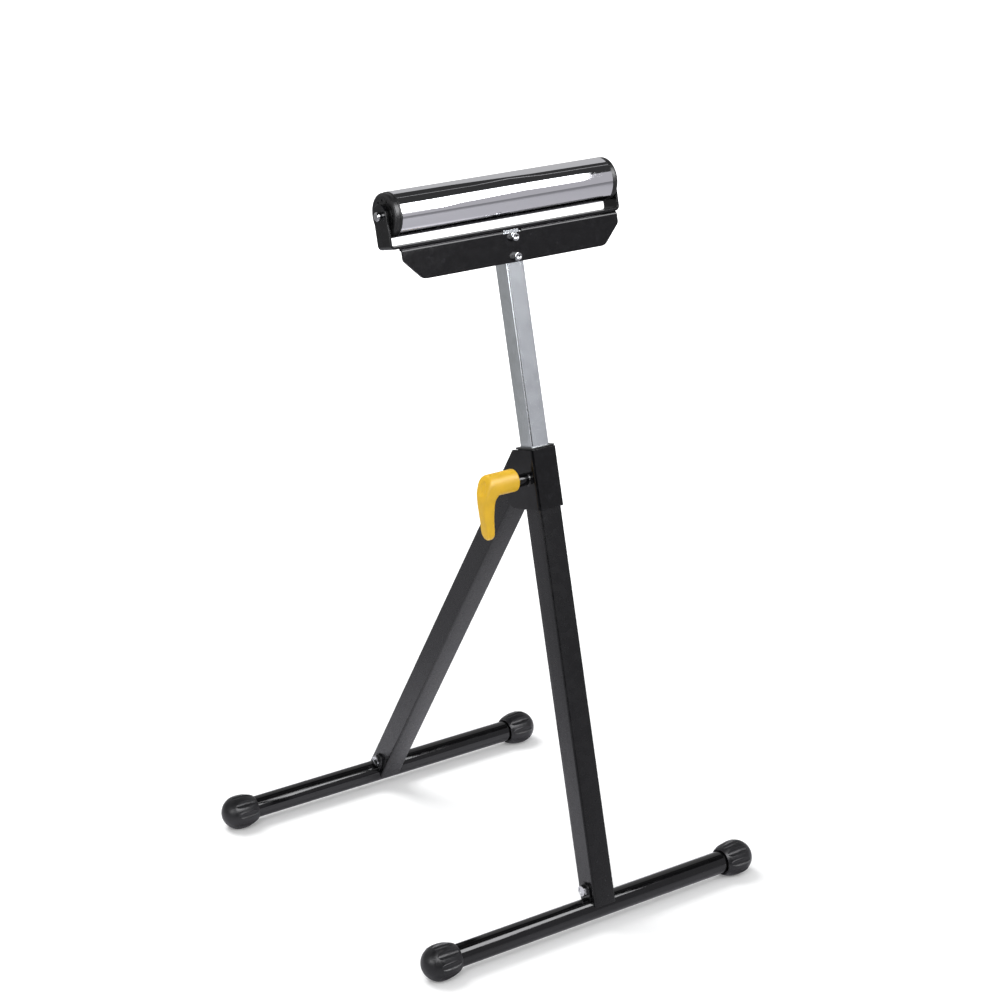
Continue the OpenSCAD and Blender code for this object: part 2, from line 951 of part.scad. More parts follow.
// The long strip with its two upright arms
module bracket_strip() {
  arm_h = roller_up - plate_top;
  side_pts = [
    [-arm_w / 2, 0], [arm_w / 2, 0], [arm_w / 2, arm_h], [-arm_w / 2, arm_h]
  ];
  intersection() {
    along_y(-arm_w, arm_w)
      for (side = [-1, 1])
        mirror([side < 0 ? 1 : 0, 0])
          translate([arm_out_x, plate_top])
            mirror([1, 0])
              bent_2d(arm_out_x, arm_h + arm_w / 2, bracket_t, arm_bend_r);
    along_x(-arm_out_x - overrun, arm_out_x + overrun)
      translate([0, plate_top])
        union() {
          polygon(side_pts);
          translate([0, arm_h])
            circle(d = arm_w, $fn = round_fn);
        }
  }
}

module roller_bracket() {
  color("#1f1f22")
    at_bracket()
      difference() {
        bracket_strip();
        translate([0, 0, roller_up])
          rod_x(axle_d + 2 * run_clear, -arm_out_x - overrun, arm_out_x + overrun);
      }
}

// An angle plate under the bracket's strip, bent down in front of the post
module flange_plate() {
  half = flange_len / 2;
  low = plate_top - flange_h;
  edge = [
    [-half, plate_top], [-half, low + slant_h], [-half + slant_len, low],
    [half - slant_len, low], [half, low + slant_h], [half, plate_top]
  ];
  round_r = slant_len / 2;
  color("#1f1f22")
    in_front()
      difference() {
        intersection() {
          along_x(-half - overrun, half + overrun)
            translate([-flange_face, plate_top])
              mirror([0, 1])
                bent_2d(flange_face + arm_w / 2, flange_h, bracket_t, flange_bend_r);
          along_y(-flange_face - overrun, arm_w)
            polygon(rounded(edge, [0, round_r / 2, round_r, round_r, round_r / 2, 0]));
        }
        for (side = [-1, 1])
          translate([side * half - notch_len, -flange_face + notch_front, plate_top - 2 * bracket_t])
            cube([2 * notch_len, flange_face + arm_w, 4 * bracket_t]);
        translate([-window_w / 2, -flange_face - overrun, plate_top - window_h])
          cube([window_w, bracket_t + post_wall + overrun, window_h + overrun]);
        small_bolt_pair()
          rod_y(small_bolt_d + 2 * hole_clear, -post_size, 0);
      }
}

module bracket_bolts() {
  face = flange_face;
  tail = post_half + small_washer_t + small_nut_h + bolt_end;
  color("#c3c5c8")
    in_front()
      small_bolt_pair()
        difference() {
          union() {
            rod_y(small_head_d, -face - small_head_h, -face);
            rod_y(small_bolt_d, -face, tail);
          }
          hex_y(socket_flats, -face - small_head_h - overrun, -face - small_head_h + socket_depth);
        }
}

module bracket_washers() {
  color("#c3c5c8")
    in_front()
      small_bolt_pair()
        difference() {
          rod_y(small_washer_d, post_half, post_half + small_washer_t);
          rod_y(small_bolt_d + 2 * hole_clear, post_half - overrun, post_size);
        }
}

module bracket_nuts() {
  y = post_half + small_washer_t;
  color("#c3c5c8")
    in_front()
      small_bolt_pair()
        difference() {
          hex_y(small_nut_flats, y, y + small_nut_h);
          rod_y(small_bolt_d + 2 * run_clear, y - overrun, y + small_nut_h + overrun);
        }
}

module both_ends() {
  for (side = [-1, 1])
    mirror([side < 0 ? 1 : 0, 0, 0])
      children();
}

// A rod through both arms with a round head at each end
module roller_axle() {
  head_r = axle_head_d / 2;
  head_x = arm_out_x + axle_head_h;
  profile = [[0, arm_out_x], [head_r, arm_out_x], [head_r, head_x], [0, head_x]];
  color("#b9bbbd")
    at_roller()
      union() {
        rod_x(axle_d, -arm_out_x, arm_out_x);
        both_ends()
          turned_x()
            polygon(rounded(profile, [0, 0, axle_head_r, 0]));
      }
}

module axle_spacer_tube() {
  color("#9c9ea0")
    at_roller()
      ring_x(spacer_d, axle_d + 2 * hole_clear, -spacer_half, spacer_half);
}

// The groove that the balls run in
module ball_groove() {
  turned_x()
    translate([ball_circle_r, race_x])
      circle(r = race_r, $fn = round_fn);
}

module bearing_inner_rings() {
  color("#19191b")
    at_roller()
      both_ends()
        difference() {
          union() {
            rod_x(2 * race_in_r, spacer_half, bearing_face_x);
            rod_x(nose_d, spacer_half, arm_x);
          }
          rod_x(axle_d + 2 * run_clear, spacer_half - overrun, arm_x + overrun);
          ball_groove();
        }
}

module bearing_outer_rings() {
  color("#19191b")
    at_roller()
      both_ends()
        difference() {
          ring_x(bearing_d, 2 * race_out_r, bearing_back_x, bearing_face_x);
          ball_groove();
        }
}

// The cages turn with the outer rings
module bearing_cages() {
  outside = 2 * (race_out_r - seat_gap);
  bore = 2 * (race_in_r + 2 * seat_gap);
  color("#19191b")
    at_roller()
      both_ends()
        difference() {
          ring_x(outside, bore, bearing_face_x - cage_t, bearing_face_x);
          for (i = [0 : bearing_balls_n - 1])
            rotate([i * 360 / bearing_balls_n, 0, 0])
              translate([0, 0, ball_circle_r])
                rod_x(cage_window_d, bearing_back_x, bearing_face_x + overrun);
        }
}

module bearing_balls() {
  color("#d8dadd")
    at_roller()
      both_ends()
        for (i = [0 : bearing_balls_n - 1])
          rotate([i * 360 / bearing_balls_n, 0, 0])
            translate([race_x, 0, ball_circle_r])
              sphere(d = bearing_ball_d, $fn = round_fn);
}

module roller_tube() {
  color("#d5d8dc")
    at_roller()
      ring_x(roller_d, roller_d - 2 * roller_wall, -roller_half, roller_half);
}

// An end cap on the right-hand end: a plug, a rim and a face with the bearing's seat
module roller_cap() {
  plug_r = roller_r - roller_wall - seat_gap;
  pocket_r = bearing_r + seat_gap;
  face_r = roller_r - cap_step;
  rim_x = roller_half + cap_rim;
  floor_x = bearing_back_x - cap_plug_wall;
  through_r = race_in_r - race_gap;
  inner_r = plug_r - cap_plug_wall;
  outline = [
    [pocket_r, roller_half], [pocket_r, cap_face_x], [face_r, cap_face_x],
    [face_r, rim_x], [roller_r, rim_x], [roller_r, roller_half]
  ];
  color("#1b1b1d")
    at_roller()
      difference() {
        union() {
          turned_x()
            polygon(rounded(outline, [0, 0, cap_edge_r, 0, 0, 0]));
          rod_x(2 * plug_r, roller_half - cap_plug, roller_half);
        }
        rod_x(2 * pocket_r, bearing_back_x, cap_face_x + overrun);
        rod_x(2 * through_r, floor_x - overrun, cap_face_x);
        rod_x(2 * inner_r, roller_half - cap_plug - overrun, floor_x);
      }
}

module roller_right_cap() {
  roller_cap();
}

module roller_left_cap() {
  translate([2 * (leg_x - roller_shift), 0, 0])
    mirror([1, 0, 0])
      roller_cap();
}

front_leg();
clamp_head();
guide_bush();
clamp_boss();
front_foot_tube();
front_foot_ears();
front_foot_bolt();
front_foot_nut();
front_left_cap();
front_right_cap();
pivot_bolt();
pivot_washer();
pivot_nut();
rear_leg();
rear_leg_bush();
rear_foot_tube();
rear_foot_ears();
rear_foot_bolt();
rear_foot_nut();
rear_left_cap();
rear_right_cap();
pressure_pad();
clamp_stud();
clamp_handle();
inner_post();
post_bottom_plug();
roller_bracket();
flange_plate();
bracket_bolts();
bracket_washers();
bracket_nuts();
roller_axle();
axle_spacer_tube();
bearing_inner_rings();
bearing_outer_rings();
bearing_cages();
bearing_balls();
roller_tube();
roller_left_cap();
roller_right_cap();
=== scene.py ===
"""A roller stand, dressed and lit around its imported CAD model."""
import json
from math import acos, atan2, copysign, cos, pi, radians, sin, sqrt

import bmesh
import bpy
from mathutils import Matrix, Vector


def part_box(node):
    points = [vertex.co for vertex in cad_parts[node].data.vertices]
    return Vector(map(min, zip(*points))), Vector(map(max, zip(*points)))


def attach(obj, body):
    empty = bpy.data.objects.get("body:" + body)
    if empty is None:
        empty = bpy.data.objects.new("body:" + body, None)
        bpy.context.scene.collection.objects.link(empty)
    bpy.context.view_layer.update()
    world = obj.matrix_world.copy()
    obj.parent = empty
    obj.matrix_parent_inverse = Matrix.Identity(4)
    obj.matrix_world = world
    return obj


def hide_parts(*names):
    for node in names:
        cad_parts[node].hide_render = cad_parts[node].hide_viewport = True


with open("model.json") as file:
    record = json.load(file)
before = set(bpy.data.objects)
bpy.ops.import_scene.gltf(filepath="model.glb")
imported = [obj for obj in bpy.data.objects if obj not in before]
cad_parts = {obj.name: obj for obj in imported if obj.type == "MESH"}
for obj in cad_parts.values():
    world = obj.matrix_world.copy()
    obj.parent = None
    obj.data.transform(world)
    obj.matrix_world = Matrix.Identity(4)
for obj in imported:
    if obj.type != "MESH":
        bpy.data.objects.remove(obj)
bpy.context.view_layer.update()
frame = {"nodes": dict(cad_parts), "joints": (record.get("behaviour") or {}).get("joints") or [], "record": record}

MM = 0.001
JOINTS = {j["name"]: j for j in frame["joints"]}
MATERIAL_SLOT = {s["node"]: s["material_slot"] for s in frame["record"]["subparts"]}
BODY_OF = {n: b for b, members in frame["record"]["behaviour"]["bodies"].items() for n in members}

# The camera that took the photograph: place and reach in metres, angles in degrees, lens and sensor
# in millimetres
CAMERA_PLACE = (-1.7784, -2.5072, 1.5961)
CAMERA_TILT = 70.023
CAMERA_TURN = -35.778
CAMERA_REACH = 100
CAMERA_LENS = 95.86
SENSOR_WIDTH = 36


def middle(node):
    low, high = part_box(node)
    return (low + high) / 2


# Sizes below are in millimetres

# Ball caps, with x outward from the ball's centre
BALL_R = 21.7
BALL_BELT_IN = 1
BALL_BELT_OUT = 2.2
COLLAR_IN = 21.5
COLLAR_R = 17
COLLAR_LAST_ROW = 0.6
# Inward along x and in radius from the collar's outer edge
COLLAR_ROUND = ((0.2, 0.1), (0, 0.5))
RING_GAP = 1.3
RING_DEPTH = 3
RING_EDGE = 0.3
TUBE_IN = 5
TUBE_CLEAR = 0.1
NOSE_STEPS = 36
BARREL_STEPS = 26

# The ball caps' flutes. Tilt is how far a flute's centre line falls per length towards the collar
FLUTES = 9
FLUTE_R = 6
FLUTE_DEPTH = 1.9
FLUTE_TILT = 0.085
FLUTE_STEPS = 12
LAND_STEPS = 4
RIDGE = 0.28
RIDGE_W = 0.5
# Half angles, in radians: where a ridge has its full height, and what is left past a flute's end
RIDGE_FADE = 0.08
FLUTE_END = 0.004

# Foot tubes
FOOT_TUBE_R = 14.25
TUBE_WALL = 1.5
FOOT_TUBE_EASE = 0.3
TUBE_COUNT = 128

# Hexagon bolts and nuts
BOLT_FLATS = 13
BOLT_HEAD_H = 5.3
BOLT_D = 8
BOLT_TIP = 0.8
BOLT_CHAMFER = 0.9
NUT_CHAMFER = 0.8
NUT_CLEAR = 0.05
CHAMFER_STEP = 0.1
# Circles on a head's face, as shares of half its flats and of the face
FACE_SHARE = 0.94
DISH_SHARES = (0.62, 0.7)
DISH_DEPTH = 0.35

# The bracket's socket head screws, their nuts and washers
SMALL_HEAD_D = 10
SMALL_HEAD_H = 6
SMALL_BOLT_D = 6
SMALL_BOLT_OUT = 2
SMALL_BOLT_TIP = 0.6
SMALL_NUT_FLATS = 10
SMALL_NUT_H = 5
SMALL_WASHER_T = 1.5
SOCKET_FLATS = 5
SOCKET_DEPTH = 3
SOCKET_CONE = 0.8
SOCKET_EDGE = 0.5
# Depth below the face, then share of half the socket's flats
SOCKET_MOUTH_SHARES = ((0.1, 1.22), (0, 1.3))
# Depth below the face, then inward from the head's side
HEAD_ROUND = ((0, 0.75), (0.22, 0.3), (0.7, 0.14))
KNURLS = 96
KNURL_SHARE = 0.972
KNURL_TOP = 0.9
KNURL_LOW = 0.3
HEAD_LOW_EDGE = 0.2
BOLT_PITCH = 23
BOLT_DROP = 9.1
SHEET = 3
POST_SIZE = 25

# Roller, with its end caps
ROLLER_R = 26.65
ROLLER_WALL = 1.5
ROLLER_GAP = 9.8
ROLLER_EASE = 0.35
ROLLER_COUNT = 192
CAP_OUT = 8.5
CAP_RIM = 2
CAP_STEP = 0.5
CAP_EDGE_R = 3
CAP_EDGE_STEPS = 10
CAP_PLUG = 15
CAP_WALL = 2.5
CAP_CLEAR = 0.1
CAP_SEAM = 0.2
CAP_COUNT = 160
RIM_EDGE = 0.25
# Outward from the rim along x and inward from the face's edge
RIM_FOOT = ((0.1, 0.1), (0.5, 0))
POCKET_R = 22.1
POCKET_DEPTH = 8
# Inward along x and outward in radius from the pocket's mouth
POCKET_EDGE = (0.4, 0.5)
SEAT_BORE_R = 13

# The roller's axle
AXLE_D = 8
AXLE_HEAD_D = 10.8
AXLE_HEAD_H = 5.6
AXLE_COUNT = 64
AXLE_LOW_EDGE = (0.3, 0.2)
# Inward along x from the head's end and in radius from its side
AXLE_DOME = ((1.7, 0), (0.9, 0.35), (0.35, 1), (0.1, 1.8), (0, 2.8))
AXLE_DIMPLE_R = 0.8
AXLE_DIMPLE = 0.25

# Bearings
BEARING_X = 155.25
BALL_CIRCLE_R = 17.5
BEARING_BALLS = 12
BEARING_BALL_R = 2.2
BALLS_FORWARD = 1.2
BALL_STEPS = 12
BALL_COUNT = 24

# The clamp handle, measured from the screw's axis and the middle of the leg
HUB_R = 13.7
HUB_RISE = 2.9
HUB_X = -37.5
HUB_EDGE = 0.9
HUB_SINK = 6
HUB_END_EDGE = 2
LEVER_INNER_X = -69
LEVER_FLARE = 5
FLARE_Z = -15
FLARE_RISE = 13
TIP_Z = -60
TIP_SLOPE = 0.24
# Exponent of a slice's outline: 1 makes an ellipse, and less makes it squarer
LEVER_POWER = 0.38
LEVER_LEVELS = 120
LEVER_COUNT = 88
DIMPLE_Z = 0.5
DIMPLE_HALF = (6.2, 9)
DIMPLE_DEPTH = 1.5
DIMPLE_WALL = 1.6
# The grid that hub and lever are joined on, and how their joint is smoothed
MOULDING_VOXEL = 0.65
MOULDING_SOFTNESS = 0.5
MOULDING_PASSES = 5
# Half width of the lever against height
LEVER_HALVES = [
    (16.2, 2.6), (15.4, 5.6), (13.5, 8.8), (10, 11.7), (6, 13.3), (1, 13.6), (-5.5, 13.2), (-10, 11.9),
    (-14.7, 10.1), (-24, 8), (-35.8, 7), (-45.3, 7.3), (-53.7, 8), (-57.8, 7.6), (-61.4, 5.6),
    (-63.8, 3.4), (-64.9, 1.2)]
# Reach of the lever's outer face along x against height
LEVER_OUTERS = [
    (16.2, -74.5), (15.4, -76), (13.5, -77.6), (10, -79.4), (4.8, -81.2), (-2.4, -83.2), (-10.1, -84.8),
    (-19.7, -85.6), (-29.1, -84.8), (-37.8, -83.4), (-47.2, -81.6), (-53.7, -80.4), (-59.1, -79.4),
    (-63.2, -77.8), (-64.9, -76)]

# The weld bead round the clamp boss
WELD_W = 1.5
WELD_OUT = 1.44
WELD_SINK = 0.1
WELD_SKIN = 0.016
WELD_RIPPLES = 13
WELD_RIPPLE = 0.1
WELD_WANDER = 0.05
WELD_COUNT = 120
WELD_STEPS = 9

# Edges between faces that meet at more than these angles stay sharp
SMOOTH_ANGLE = radians(32)
TURNED_ANGLE = radians(30)
FACET_ANGLE = radians(24)
DOME_ANGLE = radians(40)
# CAD facets that meet at less than this angle are joined before their edges are rounded
FLAT_ANGLE = radians(0.6)

# The front leg's own frame: its foot axis at the origin, z up the leg
slide_axis = Vector(JOINTS["post_slide"]["axis"])
LEAN = atan2(slide_axis.y, slide_axis.z)
front_foot = middle("front_foot_tube")
rear_foot = middle("rear_foot_tube")
pivot = Vector(JOINTS["rear_leg_fold"]["pos_m"])
roller_axis = Vector(JOINTS["roller_spin"]["pos_m"])
screw_axis = Vector(JOINTS["handle_turn"]["pos_m"])
leg_x = middle("front_leg").x
REAR_LEAN = atan2(rear_foot.y - pivot.y, pivot.z - rear_foot.z)
front_frame = Matrix.Translation((leg_x, front_foot.y, front_foot.z)) @ Matrix.Rotation(-LEAN, 4, "X")
tilted_back = Matrix.Rotation(-LEAN, 4, "X")
tilted_forward = Matrix.Rotation(REAR_LEAN, 4, "X")


# Scene settings

def link(obj):
    bpy.context.scene.collection.objects.link(obj)
    return obj


def set_camera():
    data = bpy.data.cameras.new("camera")
    data.sensor_width = SENSOR_WIDTH
    data.lens = CAMERA_LENS
    data.clip_end = CAMERA_REACH
    camera = link(bpy.data.objects.new("camera", data))
    camera.location = CAMERA_PLACE
    camera.rotation_euler = (radians(CAMERA_TILT), 0, radians(CAMERA_TURN))
    bpy.context.scene.camera = camera


def area_light(name, place, target, size, power):
    data = bpy.data.lights.new(name, "AREA")
    data.shape = "RECTANGLE"
    data.size, data.size_y = size
    data.energy = power
    lamp = link(bpy.data.objects.new(name, data))
    lamp.location = place
    lamp.rotation_euler = (Vector(target) - Vector(place)).to_track_quat("-Z", "Y").to_euler()
    lamp.visible_glossy = False


def node_tree(material):
    material.use_nodes = True
    tree = material.node_tree
    tree.nodes.clear()
    return tree, tree.nodes.new("ShaderNodeOutputMaterial")


def seen_by_rays(tree, kinds):
    """One where any of the named kinds of ray looks, else nought."""
    path = tree.nodes.new("ShaderNodeLightPath")
    last = path.outputs[kinds[0]]
    for kind in kinds[1:]:
        top = tree.nodes.new("ShaderNodeMath")
        top.operation = "MAXIMUM"
        tree.links.new(last, top.inputs[0])
        tree.links.new(path.outputs[kind], top.inputs[1])
        last = top.outputs[0]
    return last


BACKDROP_RAYS = ("Is Camera Ray", "Is Transmission Ray")
AMBIENT = 0.5
AMBIENT_TINT = (0.98, 0.99, 1)
# What polished metal sees of the studio where no card stands
STUDIO_GREY = 0.42
STUDIO_TINT = (1, 0.985, 1.05)
# The floor's half width in metres and its own white
FLOOR_HALF = 12
FLOOR_WHITE = (0.93, 0.93, 0.93)
# Glow that lifts the floor to the backdrop's white: metres from the stand, then strength
GLOW_NEAR = (0.7, 0.14)
GLOW_FAR = (2.6, 1)
# How bright polished metal sees the floor, a painted pool of light round the stand: metres from the pool's middle,
# then share
LIGHT_POOL_MIDDLE = (0.1, 0.1, 0)
LIGHT_POOL_NEAR = (0.3, 0.9)
LIGHT_POOL_FAR = (0.65, 0.4)


def emission(tree, colour, strength=1.0):
    glow = tree.nodes.new("ShaderNodeEmission")
    glow.inputs["Color"].default_value = (*colour, 1)
    glow.inputs["Strength"].default_value = strength
    return glow.outputs[0]


def mixed(tree, share, first, second):
    mix = tree.nodes.new("ShaderNodeMixShader")
    tree.links.new(share, mix.inputs[0])
    tree.links.new(first, mix.inputs[1])
    tree.links.new(second, mix.inputs[2])
    return mix.outputs[0]


def background(tree, colour, strength=1.0):
    back = tree.nodes.new("ShaderNodeBackground")
    back.inputs["Color"].default_value = (*colour, 1)
    back.inputs["Strength"].default_value = strength
    return back.outputs[0]


def set_world():
    """White to the eye and through glass, a grey studio to polished metal, soft light to the rest."""
    world = bpy.data.worlds.new("studio")
    bpy.context.scene.world = world
    world.use_nodes = True
    tree = world.node_tree
    tree.nodes.clear()
    out = tree.nodes.new("ShaderNodeOutputWorld")
    soft = background(tree, AMBIENT_TINT, AMBIENT)
    grey = background(tree, tuple(STUDIO_GREY * c for c in STUDIO_TINT))
    white = background(tree, (1, 1, 1))
    seen = mixed(tree, seen_by_rays(tree, ("Is Glossy Ray",)), soft, grey)
    seen = mixed(tree, seen_by_rays(tree, BACKDROP_RAYS), seen, white)
    tree.links.new(seen, out.inputs[0])


def faded_from(tree, point, near, far):
    """A value that changes with distance from a point. near and far hold a distance and a value."""
    coords = tree.nodes.new("ShaderNodeTexCoord")
    away = tree.nodes.new("ShaderNodeVectorMath")
    away.operation = "SUBTRACT"
    away.inputs[1].default_value = point
    length = tree.nodes.new("ShaderNodeVectorMath")
    length.operation = "LENGTH"
    fade = tree.nodes.new("ShaderNodeMapRange")
    for name, value in zip(("From Min", "To Min", "From Max", "To Max"), near + far):
        fade.inputs[name].default_value = value
    tree.links.new(coords.outputs["Object"], away.inputs[0])
    tree.links.new(away.outputs["Vector"], length.inputs[0])
    tree.links.new(length.outputs["Value"], fade.inputs["Value"])
    return fade.outputs["Result"]


def set_floor():
    """A pale floor that the camera sees as white, with the stand's shadow on it."""
    mesh = bpy.data.meshes.new("floor")
    half = FLOOR_HALF
    corners = [(-half, -half, 0), (half, -half, 0), (half, half, 0), (-half, half, 0)]
    mesh.from_pydata(corners, [], [(0, 1, 2, 3)])
    floor = link(bpy.data.objects.new("floor", mesh))
    material = bpy.data.materials.new("floor")
    tree, out = node_tree(material)
    diffuse = tree.nodes.new("ShaderNodeBsdfDiffuse")
    diffuse.inputs["Color"].default_value = (*FLOOR_WHITE, 1)
    white = tree.nodes.new("ShaderNodeEmission")
    tree.links.new(faded_from(tree, (0, 0, 0), GLOW_NEAR, GLOW_FAR), white.inputs["Strength"])
    dark = emission(tree, (1, 1, 1), 0)
    glow = mixed(tree, seen_by_rays(tree, BACKDROP_RAYS), dark, white.outputs[0])
    add = tree.nodes.new("ShaderNodeAddShader")
    tree.links.new(diffuse.outputs[0], add.inputs[0])
    tree.links.new(glow, add.inputs[1])
    # Reflections see the floor with a painted pool of light round the stand, fading with distance
    polished = tree.nodes.new("ShaderNodeBsdfDiffuse")
    tinted = tree.nodes.new("ShaderNodeVectorMath")
    tinted.operation = "SCALE"
    tinted.inputs["Vector"].default_value = STUDIO_TINT
    tree.links.new(faded_from(tree, LIGHT_POOL_MIDDLE, LIGHT_POOL_NEAR, LIGHT_POOL_FAR), tinted.inputs["Scale"])
    tree.links.new(tinted.outputs["Vector"], polished.inputs["Color"])
    last = mixed(tree, seen_by_rays(tree, ("Is Glossy Ray",)), add.outputs[0], polished.outputs[0])
    tree.links.new(last, out.inputs[0])
    mesh.materials.append(material)


CARD_TINT = (1, 1, 1.02)
CARD_STEPS = 32


def finish_card(name, mesh, light):
    """Makes a mesh glow, seen by reflections only."""
    card = link(bpy.data.objects.new(name, mesh))
    material = bpy.data.materials.new(name)
    tree, out = node_tree(material)
    tree.links.new(emission(tree, [light * c for c in CARD_TINT]), out.inputs[0])
    mesh.materials.append(material)
    card.visible_camera = False
    card.visible_diffuse = False
    card.visible_shadow = False
    card.visible_transmission = False


def curved_card(name, light, radius, outline):
    """A curved card round the roller's axis. The outline gives, from left to right, a place along x
    in metres and the card's lowest and highest angle there: 0 is level with the roller in front, 90
    above it, 180 behind it."""
    verts = []
    for x, start, end in outline:
        for i in range(CARD_STEPS + 1):
            a = radians(start + (end - start) * i / CARD_STEPS)
            verts.append((x, roller_axis.y - radius * cos(a), roller_axis.z + radius * sin(a)))
    row = CARD_STEPS + 1
    faces = [(row * j + i, row * j + i + 1, row * (j + 1) + i + 1, row * (j + 1) + i)
             for j in range(len(outline) - 1) for i in range(CARD_STEPS)]
    mesh = bpy.data.meshes.new(name)
    mesh.from_pydata(verts, [], faces)
    finish_card(name, mesh, light)


def upright_card(name, light, start, end, low, high):
    """A flat card between two points of the floor plan."""
    mesh = bpy.data.meshes.new(name)
    mesh.from_pydata([(*start, low), (*end, low), (*end, high), (*start, high)], [], [(0, 1, 2, 3)])
    finish_card(name, mesh, light)


# Places of cards and lamps are in metres. FAR is past all that the roller can show
FAR = 9
SOFTBOX = [
    (-1.5, 16, 55), (0.55, 14, 55.5), (0.64, 11, 56), (0.735, 19, 57), (0.84, 21, 58), (0.94, 24, 58.5),
    (1.045, 27, 59), (1.15, 25.5, 60), (1.34, 25, 60), (1.38, 28, 56)]
SOFTBOX_RIM = [
    (-1.5, 13, 57), (0.6, 8, 58), (0.735, 15, 60), (0.84, 18, 61), (0.94, 21, 61.5), (1.045, 24, 62),
    (1.15, 22, 63), (1.36, 22, 63), (1.42, 26, 60)]
DARK_BAND = [(-FAR, 50, 126), (2.1, 50, 126), (2.7, 50, 114), (FAR, 50, 114)]
LIGHT_LINE = [(-FAR, 90, 91), (2.15, 94, 95.5), (2.45, 102, 105), (2.75, 92, 94), (FAR, 92, 94)]
BACK_WALL = [(-FAR, 120, 200), (FAR, 108, 200)]
# What the roller mirrors: a softbox in front with a dimmer rim, a dark band over it with a light
# line along it, and the grey behind. Each card has a name, its light, its radius and its outline
CURVED_CARDS = [
    ("softbox", 9, 1.4, SOFTBOX),
    ("softbox_rim", 0.85, 1.43, SOFTBOX_RIM),
    ("card_top", 0.035, 3.6, DARK_BAND),
    ("card_line", 0.5, 3.5, LIGHT_LINE),
    ("card_back", 0.48, 3.7, BACK_WALL),
]
# A second softbox on the left, the unlit room round the camera, and behind the stand a grey card
# that the post's left face mirrors. Name, light, two points of the floor plan, two heights
UPRIGHT_CARDS = [
    ("left_box", 4.6, (-2.1, -1), (-2.1, 0.3), 0.65, 1.5),
    ("dark_room", 0.02, (-3.2, -1.5), (0.5, -3.5), 0.05, 2.6),
    ("left_shade", 0.3, (-1.1, 0.9), (-0.35, 0.9), 0.12, 0.75),
]
# Name, place, the point it looks at, width and height, power in watts
LAMPS = [
    ("key", (-2.4, -2.2, 3.0), (0, 0, 0.4), (1.6, 1.6), 46),
    ("fill", (1.2, -3.0, 2.2), (0, 0, 0.4), (2.2, 2.2), 36),
    ("back", (-0.7, 1.7, 3.2), (0, 0, 0.2), (2, 2), 80),
]


def set_studio():
    bpy.context.scene.view_settings.view_transform = "Standard"
    set_world()
    set_floor()
    for card in CURVED_CARDS:
        curved_card(*card)
    for card in UPRIGHT_CARDS:
        upright_card(*card)
    for lamp in LAMPS:
        area_light(*lamp)


# Materials

class Shader:
    """A principled material with short ways to add noise, ramps and bump."""

    def __init__(self, name, colour, roughness, metallic=0.0, specular=0.5):
        self.material = bpy.data.materials.new(name)
        self.tree, out = node_tree(self.material)
        self.bsdf = self.add("ShaderNodeBsdfPrincipled")
        self.bsdf.inputs["Base Color"].default_value = (*colour, 1)
        self.bsdf.inputs["Roughness"].default_value = roughness
        self.bsdf.inputs["Metallic"].default_value = metallic
        self.bsdf.inputs["Specular IOR Level"].default_value = specular
        self.tree.links.new(self.bsdf.outputs[0], out.inputs[0])
        self.place = self.add("ShaderNodeTexCoord").outputs["Object"]
        self.height = None

    def add(self, kind):
        return self.tree.nodes.new(kind)

    def stretched(self, scale, turn=(0, 0, 0)):
        mapping = self.add("ShaderNodeMapping")
        mapping.inputs["Scale"].default_value = scale
        mapping.inputs["Rotation"].default_value = turn
        self.tree.links.new(self.place, mapping.inputs["Vector"])
        return mapping.outputs["Vector"]

    def noise(self, size, detail=2, vector=None, rough=0.5):
        """Noise whose blobs are about as big as size, in metres."""
        node = self.add("ShaderNodeTexNoise")
        node.inputs["Scale"].default_value = 1 / size
        node.inputs["Detail"].default_value = detail
        node.inputs["Roughness"].default_value = rough
        self.tree.links.new(vector or self.place, node.inputs["Vector"])
        return node.outputs["Fac"]

    def ramp(self, source, low, high, start, end):
        """Spreads a noise's part from start to end between two values."""
        node = self.add("ShaderNodeMapRange")
        node.inputs["From Min"].default_value = start
        node.inputs["From Max"].default_value = end
        node.inputs["To Min"].default_value = low
        node.inputs["To Max"].default_value = high
        self.tree.links.new(source, node.inputs["Value"])
        return node.outputs["Result"]

    def colours(self, source, stops):
        """Colours by a noise: each stop is a place from nought to one and its colour."""
        node = self.add("ShaderNodeValToRGB")
        ramp = node.color_ramp
        while len(ramp.elements) < len(stops):
            ramp.elements.new(0.5)
        for element, (at, colour) in zip(ramp.elements, stops):
            element.position = at
            element.color = (*colour, 1)
        self.tree.links.new(source, node.inputs["Fac"])
        self.tree.links.new(node.outputs["Color"], self.bsdf.inputs["Base Color"])

    def roughness(self, source, low, high, start=0.35, end=0.65):
        """Roughness by a noise: low where it is below start, high above end."""
        self.tree.links.new(self.ramp(source, low, high, start, end), self.bsdf.inputs["Roughness"])

    def bump(self, source, distance):
        """Adds a bump of a depth in metres to those that are there."""
        node = self.add("ShaderNodeBump")
        node.inputs["Distance"].default_value = distance
        node.inputs["Strength"].default_value = 1
        self.tree.links.new(source, node.inputs["Height"])
        if self.height:
            self.tree.links.new(self.height, node.inputs["Normal"])
        self.height = node.outputs["Normal"]
        self.tree.links.new(self.height, self.bsdf.inputs["Normal"])


def shades(colour, *shares):
    return [tuple(c * share for c in colour) for share in shares]


def paint(name, colour, rough, peel):
    """Sprayed or powder-coated paint with its fine orange peel."""
    s = Shader(name, colour, rough)
    dark, light = shades(colour, 0.8, 1.2)
    s.colours(s.noise(size=0.03, detail=4), [(0.3, dark), (0.7, light)])
    s.roughness(s.noise(size=0.012, detail=3), low=rough - 0.04, high=rough + 0.05)
    s.bump(s.noise(size=0.0011, detail=1.5), distance=peel)
    s.bump(s.noise(size=0.006), distance=peel * 1.5)
    return s.material


